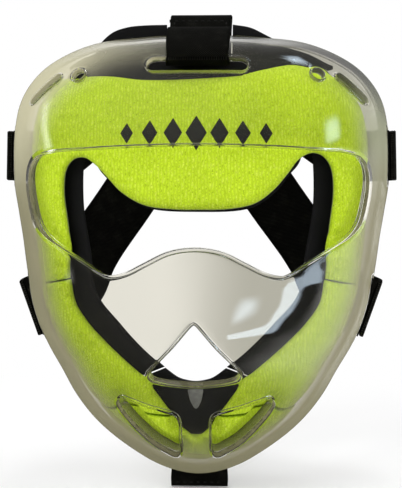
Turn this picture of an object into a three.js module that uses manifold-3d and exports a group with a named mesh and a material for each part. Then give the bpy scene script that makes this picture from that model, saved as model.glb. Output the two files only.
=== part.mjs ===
// Field hockey face mask: a clear moulded shell, a padded liner inside it and a five-strap elastic harness.
// Millimetres. X is to the viewer's right, Y runs back towards the wearer and Z is up; the face looks along -Y.
// The origin lies on the mask's middle line, at the height of the nose bridge, on the plane of the brow.
import * as THREE from 'three';
import { mergeVertices } from 'three/addons/utils/BufferGeometryUtils.js';
import Module from 'manifold-3d';

const wasm = await Module();
wasm.setup();

// Shell
const SHELL_WIDTH = 209;
const CROWN_HEIGHT = 113;
const CHIN_DROP = 124;
const WALL = 3;
const SIDE_DEPTH = 80;
const CROWN_DEPTH = 42;
const CHIN_DEPTH = 50;
const FACE_BOW = 13;
const NOSE_RISE = 15;
const NOSE_SPREAD = 24;
const NOSE_LENGTH = 26;
const NOSE_DROP = 42;
const HALF_WIDTH = SHELL_WIDTH / 2;

// Openings moulded in the shell
const EYE_LIP = 4.8;
const NOSE_LIP = 6.5;
const MOUTH_LIP = 8;
const LIP_FLANGE = 2;
const CROWN_SLOT_LENGTH = 53.6;
const CROWN_SLOT_WIDTH = 8.6;
const STRAP_SLOT_WIDTH = 6;
const SPARE_SLOT_LENGTH = 22;
const SPARE_SLOT_WIDTH = 3.8;
const VENT_HOLE = 6.6;
const CUT_OVERRUN = 8;
const FACET_TOLERANCE = 0.05;

// Liner
const LINER_GAP = 0.8;
const LIP_CLEARANCE = 6;
const PAD_THICKNESS = 13;
const BACKING_THICKNESS = 4.5;
const LAYER_GAP = 1;
const PAD_ROUND = 8;
const PAD_SEAM = 2.4;
const BACKING_ROUND = 3;
const BACKING_SEAM = 1.4;
const END_ROUND = 5;
const FLAP_THICKNESS = 3.4;
const FLAP_BEHIND_RIM = 0.5;
const CHIN_PATCH_WIDTH = 8;
const CHIN_PATCH_HEIGHT = 12;
const CHIN_PATCH_THICKNESS = 1;
const CHIN_PATCH_TOP = 72;

// Harness
const STRAP_THICKNESS = 2.2;
const CROWN_STRAP_WIDTH = 34.4;
const TEMPLE_STRAP_WIDTH = 28.5;
const CHEEK_STRAP_WIDTH = 34;
const STRAP_SIDE_CLEARANCE = 1.3;
const STRAP_EDGE_CLEARANCE = 0.6;
const STRAP_BEND = 2.6;
const CROWN_STRAP_INSIDE = 2.8;
const TEMPLE_STRAP_INSIDE = 2.8;
const CHEEK_STRAP_INSIDE = 5.2;
const TAB_THICKNESS = 2.4;
const CROWN_TAB_STAND_OFF = 2.3;
const TEMPLE_TAB_STAND_OFF = 1.2;
const CHEEK_TAB_STAND_OFF = 0.5;
const TAB_OVERHANG = 2.5;
const HINGE_HEIGHT = 1.8;
const PATCH_THICKNESS = 1;
const PATCH_LENGTH = 16;
const PATCH_END_MARGIN = 2;
const PATCH_SIDE_MARGIN = 2.5;
const TOUCH_GAP = 0.4;
const CROWN_SLOT_INSET = 29;
const TEMPLE_SLOT_INSET = 20;
const CHEEK_SLOT_INSET = 20;
const TEMPLE_HEIGHT = 48.5;
const CHEEK_DROP = 35;
const CROWN_LAY = 22;
const TEMPLE_LAY = 24;
const CHEEK_LAY = 21;
const REAR_DEPTH = 152;
const REAR_WIDTH = 100;
const REAR_HEIGHT_SHARE = 0.478;
const REAR_BOTTOM_SHARE = 0.478;
const REAR_HEIGHT = CROWN_HEIGHT * REAR_HEIGHT_SHARE;
const REAR_BOTTOM = CROWN_HEIGHT * REAR_BOTTOM_SHARE;
const REAR_THICKNESS = 3;
const REAR_CORNER = 9;
const REAR_LEAN = 3.6;
const REAR_PAD_MARGIN = 6;
const REAR_PAD_BOTTOM_MARGIN = 14;
const REAR_PAD_TOP_MARGIN = 9;
const REAR_PAD_THICKNESS = 9;
const CHIN_TAB_WIDTH = 31;
const CHIN_TAB_LENGTH = 10;
const CHIN_TAB_THICKNESS = 2.4;

// Plain numbers: curve sharpness, angles in degrees and counts
const SHELL_SQUARENESS = 2.5;
const CROWN_LAY_ANGLE = radians(-38);
const TEMPLE_LAY_ANGLE = radians(30);
const CHEEK_LAY_ANGLE = radians(26);
const AROUND = 56;
const SHELL_RINGS = 12;
const EYE_POINTS = 56;
const NOSE_POINTS = 28;
const MOUTH_POINTS = 26;
const STRAP_BEND_STEPS = 3;
const STRAP_LAY_STEPS = 3;
const STRAP_FREE_STEPS = 3;
const ROUND_STEPS = 8;
const PAD_CORNER_STEPS = 4;
const BISECTIONS = 40;

// Shares that shape curves, edges and steps
const SMALL_STEP_SHARE = 0.001;
const FLANK_EASE_SHARE = 0.6;
const CUTTER_RING_SHARES = [0.3, 0.6, 0.85, 1];
const TAB_TURN_SHARE = 0.75;
const TAB_LANDING_SHARES = [0.45, 0.7];
const PATCH_LAY_SHARE = 0.5;
const STRIP_END_SHARE = 0.45;
const MOST_SOFT_SHARE = 0.4;
const SOFT_STEP_SHARE = 0.3;
const CHIN_PATCH_SIDE_SHARE = 0.8;
const CHIN_PATCH_SHOULDER_SHARE = 0.6;
const REAR_PAD_RING_SHARES = [[0.94, 0], [1, 0.12], [1, 0.24], [0.93, 0.62], [0.8, 0.86], [0.5, 0.98]];

// Half outline of the rim seen from the front, from the crown round to the chin, as shares of the half width
// and of the crown height or the chin drop. The other half is its mirror image.
const RIM_UPPER_SHARES = [
  [0, 1], [0.30, 0.993], [0.55, 0.969], [0.715, 0.915], [0.83, 0.85], [0.915, 0.765],
  [0.962, 0.68], [0.988, 0.57], [1, 0.42], [0.997, 0.29], [0.975, 0.157], [0.95, 0.02],
];
const RIM_LOWER_SHARES = [
  [0.924, -0.124], [0.904, -0.23], [0.86, -0.337], [0.795, -0.444], [0.718, -0.546], [0.643, -0.65],
  [0.545, -0.751], [0.408, -0.851], [0.321, -0.902], [0.218, -0.953], [0.11, -0.987], [0, -1],
];

// Side view of the middle line: height as a share of the crown height or chin drop, set-back as a share
// of FACE_BOW
const PROFILE_SHARES = [
  [-1.06, 0], [-0.89, -0.62], [-0.73, -1], [-0.48, -1], [-0.16, -0.38], [0.18, 0], [0.53, 0.08], [0.88, 0.46],
  [1.15, 0.77],
];

// Half outlines of the openings from the front, from the middle line down or round to the middle line
const EYE_OUTLINE_SHARES = [
  [0, 0.471], [0.385, 0.462], [0.545, 0.453], [0.675, 0.445], [0.755, 0.437], [0.812, 0.42], [0.846, 0.383],
  [0.862, 0.318], [0.849, 0.195], [0.819, 0.103], [0.77, 0.051], [0.684, 0.002], [0.565, -0.052],
  [0.493, -0.087], [0.433, -0.106], [0.352, -0.093], [0.255, -0.052], [0.133, -0.003], [0, 0.015],
];
const EYE_CENTRE_SHARES = [0, 0.2];
const NOSE_OUTLINE_SHARES = [
  [0, -0.287], [0.017, -0.298], [0.115, -0.394], [0.213, -0.489], [0.228, -0.511], [0.216, -0.529],
  [0.177, -0.539], [0.077, -0.549], [0, -0.552],
];
const NOSE_CENTRE_SHARES = [0, -0.46];
const MOUTH_OUTLINE_SHARES = [
  [0.083, -0.782], [0.084, -0.711], [0.098, -0.685], [0.153, -0.669], [0.239, -0.651], [0.325, -0.628],
  [0.376, -0.62], [0.389, -0.639], [0.371, -0.674], [0.326, -0.724], [0.274, -0.774], [0.215, -0.822],
  [0.153, -0.857], [0.105, -0.878], [0.085, -0.865],
];
const MOUTH_CENTRE_SHARES = [0.19, -0.715];
const VENT_HOLE_SHARES = [0.604, 0.804];
const SPARE_SLOT_SHARES = [0.783, 0.744];
const SPARE_SLOT_LEAN = radians(-34);

// Liner pieces: pairs of places from one end of the piece to the other, outer edge then inner edge
const BROW_PAD_SHARES = [
  [[-0.849, -0.163], [-0.656, -0.125]],
  [[-0.877, 0.071], [-0.670, 0.071]],
  [[-0.884, 0.287], [-0.694, 0.265]],
  [[-0.880, 0.470], [-0.679, 0.363]],
  [[-0.858, 0.620], [-0.636, 0.412]],
  [[-0.812, 0.728], [-0.579, 0.420]],
  [[-0.725, 0.797], [-0.517, 0.385]],
  [[-0.574, 0.812], [-0.450, 0.323]],
  [[-0.440, 0.809], [-0.383, 0.261]],
  [[-0.287, 0.790], [-0.268, 0.204]],
  [[-0.115, 0.789], [-0.124, 0.186]],
  [[0.038, 0.796], [0.019, 0.184]],
  [[0.201, 0.810], [0.172, 0.188]],
  [[0.354, 0.845], [0.297, 0.212]],
  [[0.478, 0.867], [0.392, 0.274]],
  [[0.574, 0.854], [0.459, 0.345]],
  [[0.685, 0.820], [0.517, 0.412]],
  [[0.785, 0.755], [0.584, 0.442]],
  [[0.853, 0.640], [0.646, 0.425]],
  [[0.884, 0.490], [0.687, 0.367]],
  [[0.887, 0.287], [0.701, 0.261]],
  [[0.880, 0.071], [0.679, 0.071]],
  [[0.849, -0.163], [0.656, -0.125]],
];
const CHEEK_PAD_SHARES = [
  [[0.846, -0.175], [0.651, -0.139]],
  [[0.812, -0.278], [0.627, -0.234]],
  [[0.757, -0.382], [0.550, -0.323]],
  [[0.685, -0.485], [0.464, -0.391]],
  [[0.620, -0.572], [0.368, -0.460]],
  [[0.570, -0.628], [0.254, -0.544]],
  [[0.515, -0.672], [0.120, -0.698]],
];
const CHIN_PAD_SHARES = [
  [[0.503, -0.697], [0.109, -0.724]],
  [[0.425, -0.775], [0.082, -0.772]],
  [[0.300, -0.855], [0.050, -0.790]],
  [[0.150, -0.915], [0.020, -0.796]],
  [[0, -0.930], [0, -0.797]],
];
const BROW_BACKING_SHARES = [
  [[-0.689, 0.743], [-0.538, 0.566]],
  [[-0.651, 0.845], [-0.522, 0.389]],
  [[-0.555, 0.876], [-0.455, 0.310]],
  [[-0.421, 0.898], [-0.373, 0.243]],
  [[-0.268, 0.907], [-0.258, 0.188]],
  [[0, 0.912], [0, 0.171]],
  [[0.268, 0.907], [0.278, 0.188]],
  [[0.421, 0.898], [0.397, 0.257]],
  [[0.555, 0.876], [0.464, 0.332]],
  [[0.651, 0.845], [0.524, 0.403]],
  [[0.689, 0.743], [0.538, 0.566]],
];
const SIDE_BACKING_SHARES = [
  [[0.745, 0.66], [0.572, 0.5]],
  [[0.794, 0.460], [0.591, 0.407]],
  [[0.809, 0.221], [0.595, 0.195]],
  [[0.799, 0], [0.560, -0.008]],
  [[0.766, -0.161], [0.517, -0.198]],
  [[0.684, -0.347], [0.392, -0.319]],
  [[0.555, -0.500], [0.268, -0.423]],
  [[0.464, -0.613], [0.167, -0.496]],
];
const CHIN_BACKING_SHARES = [
  [[0.461, -0.62], [0.162, -0.502]],
  [[0.354, -0.738], [0.091, -0.544]],
  [[0.191, -0.819], [0.043, -0.556]],
  [[0, -0.851], [0, -0.560]],
];
// Across the flap from left to right: place, top edge and bottom edge
const CROWN_FLAP_SHARES = [
  [-0.699, 0.872, 0.852], [-0.632, 0.91, 0.838], [-0.55, 0.938, 0.834], [-0.52, 1.01, 0.835],
  [-0.47, 1.045, 0.838], [-0.39, 1.054, 0.842], [-0.29, 1.056, 0.845], [-0.184, 1.056, 0.849],
  [-0.174, 0.9, 0.849], [0, 0.9, 0.85], [0.174, 0.9, 0.849], [0.184, 1.056, 0.849],
  [0.249, 1.03, 0.848], [0.322, 0.991, 0.845], [0.44, 0.952, 0.838], [0.574, 0.926, 0.834],
  [0.67, 0.881, 0.842], [0.699, 0.872, 0.852],
];

// Free run of each strap from its tab's end to the rear panel: across, back and up, as shares of the half
// width, the harness's depth and the crown height or chin drop
const CROWN_PATH_SHARES = [
  [0, 0.72, 1.125], [0, 0.85, 1.1], [0, 0.94, 1.03], [0, 0.985, 0.955], [0, 1, 0.9], [0, 1, 0.84],
];
const TEMPLE_PATH_SHARES = [
  [0.6, 0.882, 0.566], [0.51, 0.96, 0.64], [0.445, 0.998, 0.69], [0.4, 1, 0.706],
];
const CHEEK_PATH_SHARES = [
  [0.632, 0.684, -0.081], [0.45, 0.803, 0.168], [0.268, 0.94, 0.42], [0.19, 0.998, 0.52], [0.144, 1, 0.593],
];

// Finishes
const FINISHES = {
  shell: { color: 0xe9ebe6, roughness: 0.06, metalness: 0, transparent: true, opacity: 0.3 },
  mesh: { color: 0xbbda38, roughness: 0.9, metalness: 0 },
  lining: { color: 0x141414, roughness: 0.85, metalness: 0 },
  webbing: { color: 0x101110, roughness: 0.7, metalness: 0 },
  hook: { color: 0x1d1d1d, roughness: 0.95, metalness: 0 },
  patch: { color: 0x6d6e6b, roughness: 0.6, metalness: 0 },
};

// Small helpers

function radians(degrees) {
  return THREE.MathUtils.degToRad(degrees);
}

// Smooth interpolation through a table of rising [x, value] rows.
function interpolate(table, x) {
  let row = 0;
  while (row < table.length - 2 && x > table[row + 1][0]) row += 1;
  const before = table[Math.max(row - 1, 0)];
  const start = table[row];
  const end = table[row + 1];
  const after = table[Math.min(row + 2, table.length - 1)];
  const span = end[0] - start[0];
  const t = THREE.MathUtils.clamp((x - start[0]) / span, 0, 1);
  const slopeIn = ((end[1] - before[1]) / (end[0] - before[0])) * span;
  const slopeOut = ((after[1] - start[1]) / (after[0] - start[0])) * span;
  const t2 = t * t;
  const t3 = t2 * t;
  return (2 * t3 - 3 * t2 + 1) * start[1] + (t3 - 2 * t2 + t) * slopeIn
    + (3 * t2 - 2 * t3) * end[1] + (t3 - t2) * slopeOut;
}

// A place in the front view, from its shares of the shell's size.
function place([across, up]) {
  return new THREE.Vector2(across * HALF_WIDTH, up * (up > 0 ? CROWN_HEIGHT : CHIN_DROP));
}

function mirrored(share) {
  return [-share[0], share[1]];
}

// The shell's outer surface

// Angle and distance of the rim's points, from the chin up to the crown
const HALF_RIM = [...RIM_UPPER_SHARES, ...RIM_LOWER_SHARES].map(place).reverse()
  .map((p) => [Math.atan2(p.y, p.x), p.length()]);
const RIM_TABLE = [
  ...HALF_RIM.slice(1, 3).reverse().map(([angle, radius]) => [-Math.PI - angle, radius]),
  ...HALF_RIM,
  ...HALF_RIM.slice(-3, -1).reverse().map(([angle, radius]) => [Math.PI - angle, radius]),
];

// Distance from the origin to the rim in the front view, for an angle on either side.
function rimRadius(angle) {
  const folded = Math.atan2(Math.sin(angle), Math.abs(Math.cos(angle)));
  return interpolate(RIM_TABLE, folded);
}

// How far back the flank reaches behind the face at an angle.
function flankDepth(angle) {
  const rise = Math.sin(angle) ** 2;
  const endDepth = Math.sin(angle) > 0 ? CROWN_DEPTH : CHIN_DEPTH;
  const eased = FLANK_EASE_SHARE * rise * rise + (1 - FLANK_EASE_SHARE) * rise;
  return THREE.MathUtils.lerp(SIDE_DEPTH, endDepth, eased);
}

// The face before it turns into the flanks: the profile and the moulded nose.
function faceBase(x, z) {
  const height = z / (z > 0 ? CROWN_HEIGHT : CHIN_DROP);
  const profile = interpolate(PROFILE_SHARES, height) * FACE_BOW;
  const across = x / NOSE_SPREAD;
  const down = (z + NOSE_DROP) / NOSE_LENGTH;
  return profile - NOSE_RISE * Math.exp(-(across * across + down * down) / 2);
}

function surfaceDepth(x, z) {
  const angle = Math.atan2(z, x);
  const share = Math.min(Math.hypot(x, z) / rimRadius(angle), 1 - SMALL_STEP_SHARE * SMALL_STEP_SHARE);
  const turn = 1 - (1 - share ** SHELL_SQUARENESS) ** (1 / SHELL_SQUARENESS);
  return faceBase(x, z) + flankDepth(angle) * turn;
}

// A point of the front at height h over the outer surface; h below zero lies inside the wall.
function shellPoint(x, z, h) {
  const step = HALF_WIDTH * SMALL_STEP_SHARE;
  const slopeX = (surfaceDepth(x + step, z) - surfaceDepth(x - step, z)) / (2 * step);
  const slopeZ = (surfaceDepth(x, z + step) - surfaceDepth(x, z - step)) / (2 * step);
  const normal = new THREE.Vector3(slopeX, -1, slopeZ).normalize();
  return new THREE.Vector3(x, surfaceDepth(x, z), z).addScaledVector(normal, h);
}

// A point of the outer surface by its angle and its turn from the middle (0) to the rim (a quarter turn).
function turnedPoint(angle, turn) {
  const share = Math.sin(turn) ** (2 / SHELL_SQUARENESS);
  const back = 1 - Math.max(Math.cos(turn), 0) ** (2 / SHELL_SQUARENESS);
  const x = share * rimRadius(angle) * Math.cos(angle);
  const z = share * rimRadius(angle) * Math.sin(angle);
  return new THREE.Vector3(x, faceBase(x, z) + flankDepth(angle) * back, z);
}

function turnedPointAt(angle, turn, h) {
  const quarter = Math.PI / 2;
  const low = Math.min(turn, quarter) - SMALL_STEP_SHARE;
  const alongTurn = turnedPoint(angle, Math.min(turn, quarter)).sub(turnedPoint(angle, low));
  const ahead = turnedPoint(angle + SMALL_STEP_SHARE, low);
  const alongAngle = ahead.sub(turnedPoint(angle - SMALL_STEP_SHARE, low));
  const normal = new THREE.Vector3().crossVectors(alongTurn, alongAngle).normalize();
  return turnedPoint(angle, turn).addScaledVector(normal, h);
}

// Closed solids

// A closed body from rings of equal point counts, its ends closed by a fan to the given or the mean point.
function ringSolid(rings, firstPole, lastPole) {
  const count = rings[0].length;
  const points = rings.flat();
  const faces = [];
  for (let ring = 0; ring < rings.length - 1; ring += 1) {
    for (let i = 0; i < count; i += 1) {
      const a = ring * count + i;
      const b = ring * count + ((i + 1) % count);
      faces.push(a, b, b + count, a, b + count, a + count);
    }
  }
  const mean = (ring) => ring.reduce((sum, p) => sum.add(p), new THREE.Vector3()).divideScalar(count);
  points.push(firstPole ?? mean(rings[0]), lastPole ?? mean(rings[rings.length - 1]));
  const lastStart = (rings.length - 1) * count;
  for (let i = 0; i < count; i += 1) {
    const next = (i + 1) % count;
    faces.push(points.length - 2, next, i);
    faces.push(points.length - 1, lastStart + i, lastStart + next);
  }
  return outwardGeometry(points, faces);
}

// A ring-shaped closed body: the last ring joins the first.
function loopSolid(rings) {
  const count = rings[0].length;
  const faces = [];
  for (let ring = 0; ring < rings.length; ring += 1) {
    const next = (ring + 1) % rings.length;
    for (let i = 0; i < count; i += 1) {
      const j = (i + 1) % count;
      faces.push(ring * count + i, ring * count + j, next * count + j);
      faces.push(ring * count + i, next * count + j, next * count + i);
    }
  }
  return outwardGeometry(rings.flat(), faces);
}

// Geometry from points and triangles, turned so that its faces point out.
function outwardGeometry(points, faces) {
  let volume = 0;
  for (let i = 0; i < faces.length; i += 3) {
    const [a, b, c] = [points[faces[i]], points[faces[i + 1]], points[faces[i + 2]]];
    volume += new THREE.Vector3().crossVectors(b, c).dot(a);
  }
  const ordered = volume > 0 ? faces : faces.toReversed();
  const geometry = new THREE.BufferGeometry().setFromPoints(points);
  geometry.setIndex(ordered);
  geometry.computeVertexNormals();
  return geometry;
}

function toSolid(geometry) {
  const bare = geometry.clone();
  bare.deleteAttribute('normal');
  bare.deleteAttribute('uv');
  const merged = mergeVertices(bare);
  return new wasm.Manifold(new wasm.Mesh({
    numProp: 3,
    vertProperties: new Float32Array(merged.attributes.position.array),
    triVerts: new Uint32Array(merged.index.array),
  }));
}

function fromSolid(solid) {
  const mesh = solid.getMesh();
  const geometry = new THREE.BufferGeometry();
  geometry.setAttribute('position', new THREE.BufferAttribute(mesh.vertProperties, 3));
  geometry.setIndex(new THREE.BufferAttribute(mesh.triVerts, 1));
  geometry.computeVertexNormals();
  return geometry;
}

// Evenly spaced points on a smooth closed outline in the front view.
function smoothOutline(corners, count) {
  const curve = new THREE.CatmullRomCurve3(corners.map((p) => new THREE.Vector3(p.x, 0, p.y)), true);
  return curve.getSpacedPoints(count).slice(0, count).map((p) => new THREE.Vector2(p.x, p.z));
}

// The whole outline of an opening on the middle line, from its right half.
function middleOutline(shares, count) {
  const left = shares.slice(1, -1).map(mirrored).reverse();
  return smoothOutline([...shares, ...left].map(place), count);
}

const OPENINGS = [
  {
    outline: middleOutline(EYE_OUTLINE_SHARES, EYE_POINTS),
    centre: place(EYE_CENTRE_SHARES),
    lip: EYE_LIP,
  },
  {
    outline: middleOutline(NOSE_OUTLINE_SHARES, NOSE_POINTS),
    centre: place(NOSE_CENTRE_SHARES),
    lip: NOSE_LIP,
  },
  {
    outline: smoothOutline(MOUTH_OUTLINE_SHARES.map(place), MOUTH_POINTS),
    centre: place(MOUTH_CENTRE_SHARES),
    lip: MOUTH_LIP,
  },
  {
    outline: smoothOutline(MOUTH_OUTLINE_SHARES.map(mirrored).map(place), MOUTH_POINTS),
    centre: place(mirrored(MOUTH_CENTRE_SHARES)),
    lip: MOUTH_LIP,
  },
];

// How much further behind the wall a place lies so that the lips round the openings stay clear.
function lipRise(x, z) {
  const rises = OPENINGS.map(({ outline, lip }) => {
    const distance = Math.min(...outline.map((p) => Math.hypot(p.x - x, p.y - z)));
    return (lip - WALL) * (1 - THREE.MathUtils.smoothstep(distance, LIP_CLEARANCE, 2 * LIP_CLEARANCE));
  });
  return Math.max(...rises);
}

// A place of the liner's front, just behind the wall and its lips.
function linerPoint(x, z) {
  return shellPoint(x, z, -WALL - LINER_GAP - lipRise(x, z));
}

// A body that follows the shell and fills an outline, from above the outer surface to well inside.
function throughCutter(outline, centre) {
  const ringAt = (scale, h) => outline.map((p) => {
    const q = centre.clone().lerp(p, scale);
    return shellPoint(q.x, q.y, h);
  });
  const outer = CUTTER_RING_SHARES.map((scale) => ringAt(scale, CUT_OVERRUN));
  const inner = CUTTER_RING_SHARES.toReversed().map((scale) => ringAt(scale, -WALL - CUT_OVERRUN));
  const first = shellPoint(centre.x, centre.y, CUT_OVERRUN);
  return ringSolid([...outer, ...inner], first, shellPoint(centre.x, centre.y, -WALL - CUT_OVERRUN));
}

// The outline moved outwards in the front view.
function grownOutline(outline, distance) {
  const count = outline.length;
  const turning = outline.reduce((sum, p, i) => sum + p.cross(outline[(i + 1) % count]), 0);
  return outline.map((p, i) => {
    const along = outline[(i + 1) % count].clone().sub(outline[(i + count - 1) % count]).normalize();
    const outwards = new THREE.Vector2(along.y, -along.x).multiplyScalar(Math.sign(turning) * distance);
    return p.clone().add(outwards);
  });
}

// The lip round an opening: a band that stands on the inside of the wall.
function lipBand(outline, lip) {
  const outside = grownOutline(outline, LIP_FLANGE);
  const inside = grownOutline(outline, -LIP_FLANGE / 2);
  const rings = outline.map((p, i) => [
    shellPoint(outside[i].x, outside[i].y, -WALL / 2),
    shellPoint(outside[i].x, outside[i].y, -lip),
    shellPoint(inside[i].x, inside[i].y, -lip),
    shellPoint(inside[i].x, inside[i].y, -WALL / 2),
  ]);
  return loopSolid(rings);
}

// A straight slot or hole cut along the surface's normal at a place of the shell.
function straightCutter(centre, normal, lengthwise, { length, width, corner = width / 2 }) {
  const depth = 2 * (WALL + CUT_OVERRUN);
  const shape = roundedPlate(length, width, corner);
  const geometry = new THREE.ExtrudeGeometry(shape, { depth, bevelEnabled: false, curveSegments: 2 });
  geometry.translate(0, 0, -depth / 2);
  const crosswise = new THREE.Vector3().crossVectors(normal, lengthwise).normalize();
  const basis = new THREE.Matrix4().makeBasis(lengthwise, crosswise, normal);
  geometry.applyMatrix4(basis.setPosition(centre));
  return geometry;
}

// A flat outline with rounded corners, centred on the origin.
function roundedPlate(width, height, corner) {
  const x = width / 2 - corner;
  const y = height / 2 - corner;
  const shape = new THREE.Shape();
  shape.absarc(x, y, corner, 0, Math.PI / 2);
  shape.absarc(-x, y, corner, Math.PI / 2, Math.PI);
  shape.absarc(-x, -y, corner, Math.PI, 1.5 * Math.PI);
  shape.absarc(x, -y, corner, 1.5 * Math.PI, 2 * Math.PI);
  return shape;
}

// Where the straps meet the shell

// A place on the rim with its outward direction, its lengthwise direction and the slot cut near it.
function strapSeat({ angle, inset, ...sizes }) {
  const rimAt = (a) => turnedPoint(a, Math.PI / 2);
  const rim = rimAt(angle);
  const along = rimAt(angle + SMALL_STEP_SHARE).sub(rimAt(angle - SMALL_STEP_SHARE));
  const tangent = new THREE.Vector2(along.x, along.z).normalize();
  const outward = new THREE.Vector3(tangent.y, 0, -tangent.x);
  const lengthwise = new THREE.Vector3(0, 1, 0).cross(outward).normalize();
  // Distance of the outer surface from the rim, along the outward direction, at a depth.
  const surfaceAt = (depth) => {
    let low = -rim.length();
    let high = 0;
    for (let i = 0; i < BISECTIONS; i += 1) {
      const middle = (low + high) / 2;
      const p = rim.clone().addScaledVector(outward, middle);
      if (surfaceDepth(p.x, p.z) > depth) high = middle;
      else low = middle;
    }
    return low;
  };
  const depth = rim.y - inset;
  const step = WALL * SMALL_STEP_SHARE;
  const rise = surfaceAt(depth + step / 2) - surfaceAt(depth - step / 2);
  const rearward = new THREE.Vector2(step, rise).normalize();
  const normal = new THREE.Vector2(-rearward.y, rearward.x);
  const slot = new THREE.Vector2(depth, surfaceAt(depth));
  // A place in the seat's plane, given by depth and distance outwards from the rim.
  const toSpace = (p) => new THREE.Vector3(rim.x, p.x, rim.z).addScaledVector(outward, p.y);
  const local = (back, out) => slot.clone().addScaledVector(rearward, back).addScaledVector(normal, out);
  return { rim, outward, lengthwise, surfaceAt, slot, rearward, normal, toSpace, local, ...sizes };
}

function angleAtHeight(height) {
  let low = -Math.PI / 2;
  let high = Math.PI / 2;
  for (let i = 0; i < BISECTIONS; i += 1) {
    const middle = (low + high) / 2;
    if (rimRadius(middle) * Math.sin(middle) > height) high = middle;
    else low = middle;
  }
  return low;
}

// The same seat on the left side has its angle mirrored.
function seatsFor(height, sizes) {
  const angle = angleAtHeight(height);
  return {
    right: strapSeat({ ...sizes, angle }),
    left: strapSeat({ ...sizes, angle: Math.PI - angle }),
  };
}

const crownSeat = strapSeat({
  angle: Math.PI / 2,
  inset: CROWN_SLOT_INSET,
  slotLength: CROWN_SLOT_LENGTH,
  slotWidth: CROWN_SLOT_WIDTH,
  slotCorner: CROWN_SLOT_WIDTH / 2,
  strapWidth: CROWN_STRAP_WIDTH,
  strapInside: CROWN_STRAP_INSIDE,
  tabStandOff: CROWN_TAB_STAND_OFF,
  lay: CROWN_LAY,
  layAngle: CROWN_LAY_ANGLE,
});
const templeSeats = seatsFor(TEMPLE_HEIGHT, {
  inset: TEMPLE_SLOT_INSET,
  slotLength: TEMPLE_STRAP_WIDTH + 2 * STRAP_SIDE_CLEARANCE,
  slotWidth: STRAP_SLOT_WIDTH,
  slotCorner: STRAP_SIDE_CLEARANCE,
  strapWidth: TEMPLE_STRAP_WIDTH,
  strapInside: TEMPLE_STRAP_INSIDE,
  tabStandOff: TEMPLE_TAB_STAND_OFF,
  lay: TEMPLE_LAY,
  layAngle: TEMPLE_LAY_ANGLE,
});
const cheekSeats = seatsFor(-CHEEK_DROP, {
  inset: CHEEK_SLOT_INSET,
  slotLength: CHEEK_STRAP_WIDTH + 2 * STRAP_SIDE_CLEARANCE,
  slotWidth: STRAP_SLOT_WIDTH,
  slotCorner: STRAP_SIDE_CLEARANCE,
  strapWidth: CHEEK_STRAP_WIDTH,
  strapInside: CHEEK_STRAP_INSIDE,
  tabStandOff: CHEEK_TAB_STAND_OFF,
  lay: CHEEK_LAY,
  layAngle: CHEEK_LAY_ANGLE,
});

// Where the strap and the tab cross the slot, against its rear edge
function hingeBack(seat) {
  return seat.slotWidth / 2 - STRAP_THICKNESS / 2 - STRAP_EDGE_CLEARANCE;
}

// Directions of the strap behind the rim: along it and square to it, in the seat's plane.
function layDirections(seat) {
  const along = new THREE.Vector2(Math.cos(seat.layAngle), -Math.sin(seat.layAngle));
  return { along, square: new THREE.Vector2(-along.y, along.x) };
}

function rimInside(seat) {
  return new THREE.Vector2(seat.rim.y + STRAP_THICKNESS, -WALL - seat.strapInside);
}

// The strap's path in the seat's plane, from the slot's mouth to the end of the part under the tab.
function strapPath(seat) {
  const back = hingeBack(seat);
  const inside = -WALL - seat.strapInside;
  const path = [seat.local(back, HINGE_HEIGHT - TAB_THICKNESS / 2 - TOUCH_GAP)];
  for (let i = 0; i <= STRAP_BEND_STEPS; i += 1) {
    const turn = (i / STRAP_BEND_STEPS) * (Math.PI / 2);
    const out = inside + STRAP_BEND * (1 - Math.sin(turn));
    path.push(seat.local(back + STRAP_BEND * (1 - Math.cos(turn)), out));
  }
  const middleDepth = (seat.slot.x + back + STRAP_BEND + seat.rim.y) / 2;
  path.push(new THREE.Vector2(middleDepth, seat.surfaceAt(middleDepth) + inside));
  for (let i = 0; i <= STRAP_LAY_STEPS + 1; i += 1) {
    path.push(rimInside(seat).addScaledVector(layDirections(seat).along, (seat.lay * i) / STRAP_LAY_STEPS));
  }
  return path;
}

// Height of the tab's middle over the strap's middle where the tab lies on the strap
const TAB_OVER_STRAP = STRAP_THICKNESS / 2 + TAB_THICKNESS / 2 + PATCH_THICKNESS + 2 * TOUCH_GAP;

function hingePlace(seat) {
  return seat.local(hingeBack(seat), HINGE_HEIGHT);
}

// The tab's path in the seat's plane, from its hinge out over the rim and down onto the strap.
function tabPath(seat) {
  const over = seat.tabStandOff + TAB_THICKNESS / 2;
  const back = hingeBack(seat);
  const middleDepth = (seat.slot.x + seat.rim.y) / 2 + TAB_THICKNESS;
  const { along, square } = layDirections(seat);
  const landed = (distance) => rimInside(seat)
    .addScaledVector(along, distance)
    .addScaledVector(square, TAB_OVER_STRAP);
  return [
    hingePlace(seat),
    seat.local(back + TAB_THICKNESS * TAB_TURN_SHARE, over),
    new THREE.Vector2(middleDepth, seat.surfaceAt(middleDepth) + over),
    new THREE.Vector2(seat.rim.y + TAB_OVERHANG, over),
    ...TAB_LANDING_SHARES.map((share) => landed(seat.lay * share)),
    landed(seat.lay - PATCH_END_MARGIN),
  ];
}

// A flat strip that follows a path in a seat's plane, given by a closed outline of the strip's edge view.
function extrudeAcross(seat, outline, width) {
  const geometry = new THREE.ExtrudeGeometry(new THREE.Shape(outline), { depth: width, bevelEnabled: false });
  geometry.translate(0, 0, -width / 2);
  const basis = new THREE.Matrix4().makeBasis(new THREE.Vector3(0, 1, 0), seat.outward, seat.lengthwise);
  basis.setPosition(seat.rim.x, 0, seat.rim.z);
  geometry.applyMatrix4(basis);
  return geometry;
}

function planeCurve(path) {
  return new THREE.CatmullRomCurve3(path.map((p) => new THREE.Vector3(p.x, p.y, 0)), false, 'centripetal');
}

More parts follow.
